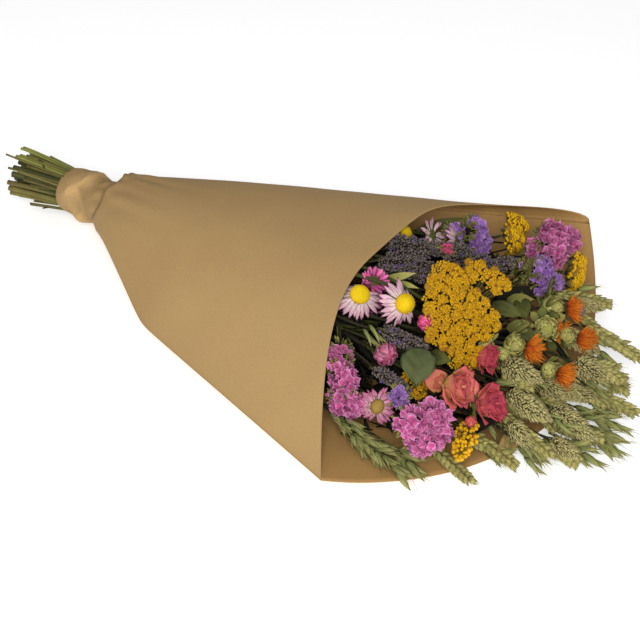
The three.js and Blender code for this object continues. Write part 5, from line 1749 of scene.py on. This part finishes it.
def twig(line, seed):
    """A thin side shoot with a few buds."""
    draw = np.random.default_rng(seed)
    line = np.asarray(line, float)
    parts = [tube(line, np.linspace(0.75, 0.4, len(line)), 5)]
    bud = revolve([(0.5, -0.9, 0.4), (0.95, 0.3, 0.6), (0.4, 1.9, 0.9)], 5)
    for _ in range(7):
        i = draw.integers(len(line) // 2, len(line))
        way = unit(line[-1] - line[0] + draw.normal(0, 14, 3))
        side = np.cross(way, (0.3, 0.9, 0.2))
        matrix = frames(side, way) * draw.uniform(0.8, 1.6)
        parts.append(bud.turned(matrix, line[min(i, len(line) - 1)] + way * 1.5))
    return join(*parts)


def undergrowth(line, seed, count):
    """Narrow and broad dry leaves and twigs among the stalks, in the shade of the flowers. Most are near
    black, which is painted shade.
    """
    draw = np.random.default_rng(seed)
    ways = np.gradient(line, axis=0)
    spots = np.nonzero((line[:, 0] > SHADE_START) & (line[:, 0] < SHADE_END))[0]
    parts = []
    for k in range(count if len(spots) else 0):
        i = draw.choice(spots)
        way = unit(ways[i])
        root = line[i].copy()
        if draw.random() < 0.4:
            root[1] += draw.normal(0, 9)
            root[2] = max(2, min(root[2], room(root[0], root[1], 1)[0] + draw.uniform(1, 16)))
            way = unit(np.array([1, root[1] / 420 + draw.normal(0, 0.15), draw.uniform(-0.05, 0.12)]))
        side = unit(np.cross(way, draw.normal(0, 1, 3)))
        ahead = unit(way + side * draw.uniform(0.15, 1.0))
        long = draw.uniform(20, 48)
        reach = [root + ahead * long * s + side * 3 * s * s for s in (0.35, 0.7, 1.0)]
        if reach[-1][0] > SHADE_END + 6 or not all(is_free(point) for point in [root, *reach]):
            continue
        kind = draw.random()
        if kind < TWIGS:
            turned = twig(smooth_line([root, *reach], 6), seed * 40 + k)
            # Half the twigs are near black, as painted shade.
            parts.append(turned.painted("shaded_leaf" if kind < TWIGS / 2 else "stem"))
            continue
        broad = kind > 1 - BROAD
        wide = draw.uniform(7, 12) if broad else draw.uniform(2.4, 5.5)
        outline = (7, 3, 0, 0.4, 0.05, 0.4, draw.uniform(-5, 6))
        shape = blade(long, wide, *outline, fold=0.35, wave=0.05 if broad else 0.14)
        shape.tone[:] = draw.random()
        turned = shape.turned(frames(ahead, np.cross(ahead, side) + 0.01), root)
        # Most leaves here are near black, as painted shade; a few keep the leaf green.
        parts.append(turned.painted("leaf" if 0.62 < kind < 0.7 else "shaded_leaf"))
    return parts


def shell(point_at, around, along, thick, tone, swell=None):
    """A thin tube of paper, open at both ends, from its outer face. Swell dents that face and
    tone gives its painted shade, how light it is."""
    outer = np.array([[point_at(a, i / along) for a in circle(around)] for i in range(along + 1)])
    if swell is not None:
        outer = swell(outer)
    normal = unit(np.cross(np.roll(outer, -1, 1) - np.roll(outer, 1, 1), np.gradient(outer, axis=0)))
    inner = outer - normal * thick
    rings = np.concatenate([outer, inner[::-1]])
    n = len(rings)
    points = rings.reshape(-1, 3)
    i, j = np.meshgrid(np.arange(n), np.arange(around), indexing="ij")
    a, b = i * around + j, i * around + (j + 1) % around
    c, d = (i + 1) % n * around + j, (i + 1) % n * around + (j + 1) % around
    faces = np.stack([a, b, c, b, d, c], -1).reshape(-1, 3)
    numbers = np.array([finish_number("kraft_outer"), finish_number("kraft_inner")])
    finish = numbers[np.repeat((i >= along + 1).astype(int).ravel(), 2)]
    there = np.linspace(0, 1, along + 1)
    shares = np.repeat(np.concatenate([there, there[::-1]]), around)
    shade = tone(outer)
    return Shape(points, faces, shares, np.concatenate([shade, shade[::-1]]).ravel(), finish).outward()


def waves(points, scale, seed):
    """Smooth noise from a few crossed waves, about -1 to 1."""
    draw = np.random.default_rng(seed)
    octaves = 3
    total = np.zeros(points.shape[:-1])
    for k in range(octaves * 3):
        way = unit(draw.normal(0, 1, 3))
        length = scale * draw.uniform(0.6, 1.6) / (1 + k // 3)
        total += np.sin(points @ way * TAU / length + draw.uniform(0, TAU)) / (1 + k // 3)
    return total / (octaves + 1)


def ease_paper(outer):
    """Soft dents in the sheet, none where it lies flat, then pleats at the neck and its crumpled
    end."""
    x, y, z = np.moveaxis(outer, -1, 0)
    free = np.clip((z - 4) / 20, 0, 1)
    open_part = np.clip((x - 20) / 120, 0, 1)
    z += free * open_part * 1.1 * waves(outer, 150, 5)
    around = np.arctan2(z - NECK_Z, y)
    neck = np.exp(-(((x - 20) / 50) ** 2)) * np.clip((x - 12) / 20, 0, 1)
    pleat = neck * (0.7 * np.sin(9 * around) + 0.5 * np.sin(14 * around + 1))
    end = np.exp(-(((x - 8) / 14) ** 2))
    crumple = np.abs(np.sin(4.5 * around + 0.12 * x)) + 0.7 * np.abs(np.sin(8 * around - 0.2 * x))
    pleat = pleat + end * 1.6 * (crumple - 1)
    x -= end * 1.8 * np.sin(6 * around + 1)
    y += pleat * np.cos(around)
    z += pleat * np.sin(around)
    np.maximum(z, 0, out=z)
    return outer


# Radius of the collar against x.
COLLAR = [(-49, 20.2), (-44, 21.7), (-33, 22.7), (-24, 22.4), (TIE_X, PINCH_R), (-2, 21.2), (16, 21.6)]
COLLAR_LINE = smooth_line([(x, radius, 0) for x, radius in COLLAR], 1.5)


def ridge(turns):
    """A wave with sharp folds, from -1 to 1."""
    return 4 * abs(turns / TAU - math.floor(turns / TAU + 0.5)) - 1


def collar_point(angle, share):
    """The collar is loose and crumpled behind, then drawn in at the waist. The edge of the strip
    lies over it."""
    i = share * (len(COLLAR_LINE) - 1)
    here, after = COLLAR_LINE[int(i)], COLLAR_LINE[min(int(i) + 1, len(COLLAR_LINE) - 1)]
    x, radius, _ = here + (after - here) * (i - int(i))
    loose = smoothstep(share, 0.05, 0.3) * (1 - smoothstep(share, 0.42, 0.6))
    folds = math.cos(angle - 1) + 0.8 * math.sin(3 * angle + 5 * share)
    folds = folds + 0.7 * math.sin(7 * angle - 8 * share)
    crumple = 1.8 * ridge(3 * angle + 10 * share) + 1.5 * ridge(2 * angle - 13 * share + 1)
    crumple = crumple + 0.4 * ridge(7 * angle + 21 * share) + 1.2
    edge = 0.5 + 0.07 * math.sin(2 * angle + 0.5) + 0.03 * math.sin(5 * angle)
    overlap = 2.2 * (1 - smoothstep(share, edge - 0.012, edge + 0.012)) * smoothstep(share, edge - 0.3, edge)
    waist = smoothstep(share, 0.6, 0.7) * (1 - smoothstep(share, 0.85, 0.97))
    r = radius + loose * (folds + crumple) + overlap + waist * (1.0 * ridge(9 * angle + 4 * share) + 0.5)
    r = max(r, PINCH_R - 0.6)
    turn = angle + 0.1 * loose * math.sin(5 * angle + 12 * share)
    return np.array([x, BUNDLE_Y + r * math.cos(turn), BUNDLE_Z + r * math.sin(turn)])


def cone_painted_shade(outer):
    """Painted shade: the paper is a little darker towards the neck, where less light falls."""
    return 0.5 - 0.26 * np.exp(-((outer[..., 0] / 100) ** 2))


def collar_painted_shade(outer):
    """Painted shade: darker in the folds, where shade falls."""
    r = np.hypot(outer[..., 1] - BUNDLE_Y, outer[..., 2] - BUNDLE_Z)
    return np.clip(0.46 + 0.16 * (r - 23.2), -0.3, 0.85)


cone = shell(cone_point, 140, 72, 0.55, cone_painted_shade, ease_paper)
piece("paper_cone", cone, "kraft_outer", ["paper_cone"])
collar = shell(collar_point, 104, 50, 0.5, collar_painted_shade)
piece("paper_collar", collar, "kraft_outer", ["paper_collar"])

# The binding: cord wound in turns that lie beside and on each other, three and then two.
tie_inner = math.sqrt(7) * STEM_PITCH + STEM_R + GAP
tie_outer = PINCH_R - PAPER - 1.6 * GAP
cord_r = (tie_outer - tie_inner) / 4
turns = []
for row in range(2):
    for k in range(3 - row):
        ring_r = tie_inner + cord_r * (1 + 1.8 * row)
        at_x = TIE_X + cord_r * 2 * (k - 1 + 0.5 * row)
        a = np.linspace(0, TAU, 61)
        wobble = 0.15 * np.sin(3 * a + k)
        line = np.stack([at_x + wobble, BUNDLE_Y + ring_r * np.cos(a), BUNDLE_Z + ring_r * np.sin(a)], -1)
        turns.append(tube(line, cord_r * 0.96, 8))
piece("binding", join(*turns), "twine", ["binding"])

# More than the solids have: small blooms and leaves that are grown on the stem of a node, or
# on its head: node, form, finish, place and facing.
EXTRAS = [
    ("lavender_1", partial(lavender, 42, 6, 220), "lavender", (328, 60, 80), (0.91, 0.41, 0.1)),
    ("lavender_1", partial(lavender, 41, 6, 221), "lavender", (289, 53, 73), (0.94, 0.34, 0.1)),
    ("lavender_2", partial(lavender, 41, 6, 222), "lavender", (316, 30, 74), (0.99, 0.1, 0.1)),
    ("lavender_3", partial(lavender, 32, 5, 223), "lavender", (361, 60, 76), (0.84, 0.55, 0)),
    ("lavender_1", partial(tuft, (5, 6, 6), 201, 2.6, -0.3), "purple", (442, 85, 46), (0.7, 0.3, 0.6)),
    ("lavender_3", partial(tuft, (6, 7, 6), 202, 3.0, -0.2), "purple", (417, 94, 59), (0.8, 0.2, 0.5)),
    ("pink_statice_3", partial(tuft, (10, 9, 10), 224, joint=14), "pink", (381, 124, 60), (0.7, 0.2, 0.6)),
    ("pink_statice_3", partial(tuft, (10, 11, 9), 225, joint=14), "pink", (399, 154, 60), (0.6, 0.4, 0.5)),
    ("lavender_2", partial(tuft, (4, 5, 4), 203, 2.6, -0.3, 10), "hot_pink",
     (330, 53, 84), (0.7, -0.1, 0.6)),
    ("daisy_stem_5", partial(daisy, 10, 9, 4, 226), "deep_petal", (299, -13, 81), (0.5, -0.1, 0.85)),
    ("daisy_stem_2", partial(daisy, 12, 12, -3, 204), "petal", (326, 82, 74), (0.8, 0.3, 0.5)),
    ("daisy_stem_3", partial(daisy, 9, 12, 2, 227), "petal", (305, 75, 76), (0.8, 0.1, 0.5)),
    ("safflower_1", partial(safflower, 9, 15, 205), "orange", (446, 46, 53), (0.85, -0.1, 0.5)),
    ("safflower_stem_1", partial(leafy_ball, 9.5, 0, 228), "pale_green", (438, 36, 57), (0.45, -0.5, 0.7)),
    ("safflower_stem_2", partial(leafy_ball, 6, 0, 229), "pale_green", (412, -22, 68), (0.5, -0.3, 0.7)),
    ("rose_1", partial(rose, 10, 15, 206, LOOSE_PETALS), "rose", (403, -80, 66), (-0.1, -0.55, 0.8)),
    ("rose_2", partial(strawflower, 4.5, 9, 207), "deep_rose", (437, -92, 52), (0.5, -0.8, 0.1)),
    ("rose_stem", partial(strawflower, 5, 10, 208), "pale_green", (428, -22, 66), (0.7, 0.1, 0.6)),
    ("purple_statice_1", partial(tuft, (9, 9, 10), 243, 3.6, -0.2, 16), "purple",
     (318, 92, 72), (0.7, 0.1, 0.6)),
    ("purple_statice_2", partial(tuft, (8, 8, 8), 244, 3.4, 0.95), "purple",
     (387, 88, 62), (0.5, -0.2, 0.8)),
    ("strawflower_stem", partial(spikelet, 209), "oat", (322, -60, 76), (0.89, -0.42, -0.19)),
    ("strawflower_stem", partial(spikelet, 210), "oat", (319, -64, 73), (0.87, -0.49, -0.12)),
    ("wheat_1", partial(spikelet, 211), "oat", (475, -66, 12), (0.9, -0.38, -0.1)),
    ("wheat_3", partial(canary_grass, 34, 8, 231), "canary", (462, 53, 42), (0.98, -0.07, -0.17)),
    ("wheat_4", partial(wheat, 40, 232), "wheat", (494, 44, 20), (0.98, 0.12, -0.17)),
    ("oat_2", partial(oat, 40, 3, 0.3, 233), "oat", (496, 6, 15), (0.98, 0.11, -0.1)),
    ("oat_2", partial(oat, 38, 3, 0.3, 234), "oat", (507, -12, 12), (0.99, -0.09, -0.1)),
    ("wheat_1", partial(oat, 38, 3, 0.3, 235), "oat", (497, -33, 12), (0.99, -0.11, -0.05)),
    ("wheat_1", partial(wheat, 40, 236), "wheat", (495, -46, 12), (0.98, -0.14, -0.1)),
    ("phalaris_1", partial(canary_grass, 30, 7, 237), "canary", (485, 6, 31), (0.94, 0.33, -0.13)),
    ("phalaris_1", partial(canary_grass, 32, 8, 245), "canary", (470, -6, 36), (0.97, 0.18, -0.15)),
    ("phalaris_2", partial(wheat, 36, 246), "wheat", (474, -15, 27), (0.99, 0.1, -0.08)),
    ("wheat_4", partial(canary_grass, 28, 7, 247), "canary", (462, 4, 38), (0.98, 0.05, -0.17)),
    ("lavender_4", partial(tuft, (7, 8, 7), 248, 3.4, -0.2), "purple", (374, -96, 50), (0.5, -0.6, 0.5)),
    ("oat_1", partial(oat, 34, 2, 0.3, 238), "oat", (334, -122, 26), (0.93, -0.33, -0.1)),
    ("oat_1", partial(oat, 38, 3, 0.35, 239), "oat", (350, -126, 22), (0.93, -0.29, -0.12)),
    ("oat_1", partial(oat, 36, 3, 0.3, 241), "oat", (385, -120, 16), (0.93, -0.2, -0.1)),
]
# Broad leaves, turned to be seen: stem, length, width, fold, seed, finish, place and facing.
LEAVES = [
    ("rose_stem", 34, 15, 0.7, 213, "dry_leaf", (459, -68, 16), (0.05, -0.93, -0.35)),
    ("daisy_stem_1", 30, 7, 0.5, 214, "pale_green", (312, 6, 78), (0.8, 0.5, 0.3)),
    ("daisy_stem_5", 24, 5, 0.5, 215, "pale_green", (322, 2, 76), (0.9, -0.2, 0.3)),
    ("daisy_stem_3", 50, 9, 0.5, 242, "leaf", (294, 110, 62), (0.72, 0.66, 0.21)),
    # This leaf is near black, as painted shade.
    ("safflower_stem_1", 46, 17, 0.5, 216, "shaded_leaf", (398, 61, 58), (0.58, 0.82, 0.07)),
    ("safflower_stem_1", 42, 15, 0.5, 217, "leaf", (398, 60, 55), (0.92, -0.34, -0.18)),
    ("safflower_stem_2", 30, 13, 0.6, 218, "leaf", (402, 32, 64), (1, 0.06, 0)),
    ("safflower_stem_1", 27, 14, 0.5, 250, "leaf", (411, 44, 62), (0.6, -0.7, 0.1)),
    ("safflower_stem_1", 25, 12, 0.6, 251, "green", (404, 52, 62), (0.9, 0.5, 0.2)),
    ("safflower_stem_2", 26, 12, 0.6, 252, "green", (421, 22, 62), (0.8, 0.6, 0.1)),
    ("safflower_stem_2", 24, 12, 0.5, 253, "leaf", (428, 20, 58), (0.9, -0.3, -0.1)),
]


def extras_of(node):
    made = []
    for owner, form, finish, place, facing in EXTRAS:
        if owner == node:
            made.append(form().turned(facing_matrix(facing), place).filled(finish))
    for owner, length, width, fold, seed, finish, place, facing in LEAVES:
        if owner == node:
            made.append(leaf(length, width, fold, seed).painted(finish).turned(shown_matrix(facing), place))
    return made


# Finish and slot of each kind of head, by the start of its name.
HEAD_LOOKS = {
    "yarrow": ("yarrow", "yarrow_gold"),
    "daisy_petals_5": ("deep_petal", "deep_pink_petal"),
    "daisy_petals_4": ("rosy_petal", "pale_pink_petal"),
    "daisy_petals": ("petal", "pale_pink_petal"),
    "pink_statice": ("pink", "pink_statice"),
    "purple_statice": ("purple", "purple_statice"),
    "rose_1": ("rose", "rose_coral"),
    "rose": ("deep_rose", "rose_coral"),
    "strawflower_2": ("hot_pink", "strawflower_pink"),
    "strawflower": ("bract_pink", "strawflower_pink"),
    "safflower": ("orange", "safflower_orange"),
    "helichrysum": ("gold_ball", "helichrysum_gold"),
}
GRASS_LOOKS = {name: (name, name) for name in ("lavender", "wheat", "oat")}
GRASS_LOOKS["phalaris"] = ("canary", "phalaris")


def look_of(table, name):
    return next(look for key, look in table.items() if name.startswith(key))


def companion(line, radius, seed):
    """A thinner stalk beside another one, from its cut end to inside the paper."""
    draw = np.random.default_rng(seed)
    inner_end = 90
    fan_start = -25
    part = line[line[:, 0] < inner_end]
    if len(part) < 4:
        return []
    a = draw.uniform(0, TAU)
    aside = np.array([0, math.cos(a), math.sin(a)]) * (radius + 1.2)
    fan = np.clip((fan_start - part[:, :1]) / 70, 0, 1)
    skip = draw.integers(0, 4)
    moved = (part + aside * (1 + 1.6 * fan) + (-draw.uniform(0, 9) * fan) * (1, 0, 0))[skip:]
    moved[:, 2] = np.maximum(moved[:, 2], 2)
    parts = [tube(moved, draw.uniform(0.9, 1.7), 7)]
    if draw.random() < 0.5:
        way = unit(np.array([-0.9, *draw.normal(0, 0.4, 2)]))
        start = moved[2]
        parts.append(tube([start, start + way * 4, start + way * draw.uniform(7, 13)], [0.8, 0.7, 0.6], 6))
    for shape in parts:
        shape.tone[:] = draw.random()
    return parts


ASIDE = np.array([0.835, 0.55, 0])  # slantwise, from the neck to the far end of the ears
EARS_END = 452  # how far along that way ears may be
EARS_NEAR = -85  # how far to the near side they may be
EARS_TRIED = 6


def ears_beside(head, seed):
    """Smaller ears, oat spikelets and their stalks, close beside an ear."""
    draw = np.random.default_rng(seed)
    others = [other for other in heads if other is not head]
    wheat_below, canary_below = 0.22, 0.4
    parts = []
    for k in range(EARS_TRIED):
        way = unit(head.facing + draw.normal(0, 0.17, 3))
        place = np.array(head.place) + (draw.uniform(-30, 14), draw.uniform(-17, 17), draw.uniform(-16, 3))
        tip = place + way * 20
        if not in_room(place, 5) or not in_room(tip, 4) or tip @ ASIDE > EARS_END or place[1] < EARS_NEAR:
            continue
        if any(math.dist(other.place, place) < 7 + 0.5 * min(other.reach, 16) for other in others):
            continue
        kind = draw.random()
        if kind < wheat_below:
            long = draw.uniform(34, 48)
            ear = wheat(long, seed * 10 + k).turned(np.eye(3) * 0.85).painted("wheat")
        elif kind < canary_below:
            long = draw.uniform(22, 32)
            ear = canary_grass(long, long * 0.24, seed * 10 + k).painted("canary")
        else:
            long = 20
            pair = []
            for n in range(3):
                upright = facing_matrix((0.25 * draw.normal(), 0.25 * draw.normal(), 1))
                turned = upright @ spin(draw.uniform(0, TAU))
                at = (draw.normal(0, 2.5), draw.normal(0, 2.5), 7 * n - 16)
                pair.append(spikelet(seed * 30 + 3 * k + n).turned(turned * draw.uniform(0.75, 1), at))
            ear = join(*pair).painted("oat")
        parts.append(ear.turned(facing_matrix(way), place))
        foot = place - way * long * 0.45
        root = np.array(head.place) - head.facing * (head.bloom.joint + 16)
        line = smooth_line([root, (root + foot) / 2 - (0, 0, 2), foot], 5)
        parts.append(tube(line, 0.7, 5).painted("stem"))
    return parts


# How far the fine form of a head is moved from its solid's place, and where it faces instead.
DRESS_SHIFT = {
    "daisy_petals_1": (0, 2, 6),
    "pink_statice_2": (0, 1, 3),
    "rose_1": (-3, -3, -1),
    "rose_2": (0, 1, 2),
    "rose_bud": (0, 2, 5),
    "strawflower_2": (6, -3, 5),
    "oat_2": (-14, 2, 3),
}
DRESS_FACING = {"rose_1": (0.85, 0.0, 0.5), "rose_2": (0.85, 0.2, 0.5)}

# Each plant: its stalks with what grows on them, then its heads.
for number, plant in enumerate(plants):
    mine = [route for route in routes if route.plant is plant]
    grass = any(plant.stem.startswith(key) for key in GRASS_LOOKS)
    look, slot = look_of(GRASS_LOOKS, plant.stem) if grass else ("stem", "dried_stem")
    draw = np.random.default_rng(900 + number)
    # Stalks on top of the bundle are straw coloured, those in its middle and below are darker.
    light = plant.slot[0] * 0.54 + plant.slot[1] * 0.77 + draw.normal(0, 2)
    stem_look = "stem_straw" if light > 4.5 else "stem_dark" if light > -4 else "stem"
    parts = []
    for k, route in enumerate(mine):
        shape, line = stalk(route, 500 + 10 * number + k)
        parts.append(shape.painted(stem_look))
        parts += undergrowth(line, 700 + 10 * number + k, 12 if grass else 28)
        if k == 0:
            for extra in range(2):
                beside = companion(line, STEM_R, 800 + 2 * number + extra)
                parts += [part.painted(stem_look if extra else "stem") for part in beside]
    for order, head in enumerate(plant.heads):
        matrix = head.matrix
        if head.bloom.broad:
            matrix = shown_matrix(head.facing if head.bloom.turned is None else head.bloom.turned)
        if head.node in DRESS_FACING:
            matrix = facing_matrix(DRESS_FACING[head.node])
        place = np.array(head.place) + DRESS_SHIFT.get(head.node or plant.stem, (0, 0, 0))
        dressed = head.bloom.dress().turned(matrix, place)
        if head.bloom.fused:
            parts.append(dressed)
            if grass and not plant.stem.startswith(("oat_1", "lavender")):
                parts += ears_beside(head, 1100 + 10 * number + order)
        else:
            finish, head_slot = look_of(HEAD_LOOKS, head.node)
            added = [extra.filled(finish) for extra in extras_of(head.node)]
            piece(head.node, join(dressed, *added), finish, [head.node])
        if head.bloom.base:
            parts.append(head.bloom.base().turned(head.matrix, head.place).filled("pale_green"))
    parts += extras_of(plant.stem)
    piece(plant.stem, join(*parts), look, [plant.stem])

# Radius, height and finish of the daisies' discs.
DISCS = {
    "daisy_disc_1": (8.3, 5.4, "disc"),
    "daisy_disc_2": (8.2, 12, "disc"),
    "daisy_disc_3": (7.5, 6.5, "disc"),
    "daisy_disc_4": (6, 3.6, "brown_disc"),
}
for name, (radius, height, finish) in DISCS.items():
    under = next(head for head in heads if head.node == name.replace("disc", "petals"))
    shift = DRESS_SHIFT.get(under.node, (0, 0, 0))
    disc = daisy_disc(radius, height, 90).turned(under.matrix, np.array(under.place) + shift)
    piece(name, disc, finish, [name])


# Stage, lights and camera


def to_row(point):
    return Vector([(point[0] - REST_X) * MM, point[1] * MM, point[2] * MM])


bpy.ops.mesh.primitive_plane_add(size=12, location=(0, 0, -0.0004))
floor = bpy.context.object
floor.name = "floor"
floor_finish = bpy.data.materials.new("floor")
floor_finish.use_nodes = True
floor_shader = floor_finish.node_tree.nodes["Principled BSDF"]
floor_shader.inputs["Base Color"].default_value = (0.9, 0.9, 0.9, 1)
floor_shader.inputs["Emission Color"].default_value = (1, 1, 1, 1)
floor_shader.inputs["Emission Strength"].default_value = 0.45
floor_shader.inputs["Roughness"].default_value = 0.9
floor.data.materials.append(floor_finish)


def way_from(azimuth, elevation):
    a, e = math.radians(azimuth), math.radians(elevation)
    return Vector((math.sin(a) * math.cos(e), -math.cos(a) * math.cos(e), math.sin(e)))


def lamp(name, azimuth, elevation, distance, size, watts):
    way = way_from(azimuth, elevation)
    data = bpy.data.lights.new(name, "AREA")
    data.shape = "DISK"
    data.size = size
    data.energy = watts
    made = bpy.data.objects.new(name, data)
    made.location = to_row(VIEW_TARGET) + way * distance
    made.rotation_mode = "QUATERNION"
    made.rotation_quaternion = way.to_track_quat("Z", "Y")
    bpy.context.scene.collection.objects.link(made)


lamp("key", 34, 40, 1.7, 0.8, 23)
lamp("fill", -40, 40, 1.9, 1.4, 2)

world = bpy.data.worlds.new("studio")
world.use_nodes = True
world.node_tree.nodes["Background"].inputs["Color"].default_value = (1, 1, 1, 1)
world.node_tree.nodes["Background"].inputs["Strength"].default_value = 0.34
bpy.context.scene.world = world
bpy.context.scene.view_settings.view_transform = "Standard"

azimuth = math.radians(VIEW_AZIMUTH)
back = way_from(VIEW_AZIMUTH, VIEW_ELEVATION)
right = Vector((math.cos(azimuth), math.sin(azimuth), 0))
up = back.cross(right)
camera_data = bpy.data.cameras.new("camera")
camera_data.lens = LENS
camera_data.sensor_width = 36
camera_data.clip_end = 20
camera = bpy.data.objects.new("camera", camera_data)
turn = Matrix((right, up, back)).transposed().to_4x4()
camera.matrix_world = Matrix.Translation(to_row(VIEW_TARGET) + back * VIEW_DISTANCE * MM) @ turn
bpy.context.scene.collection.objects.link(camera)
bpy.context.scene.camera = camera
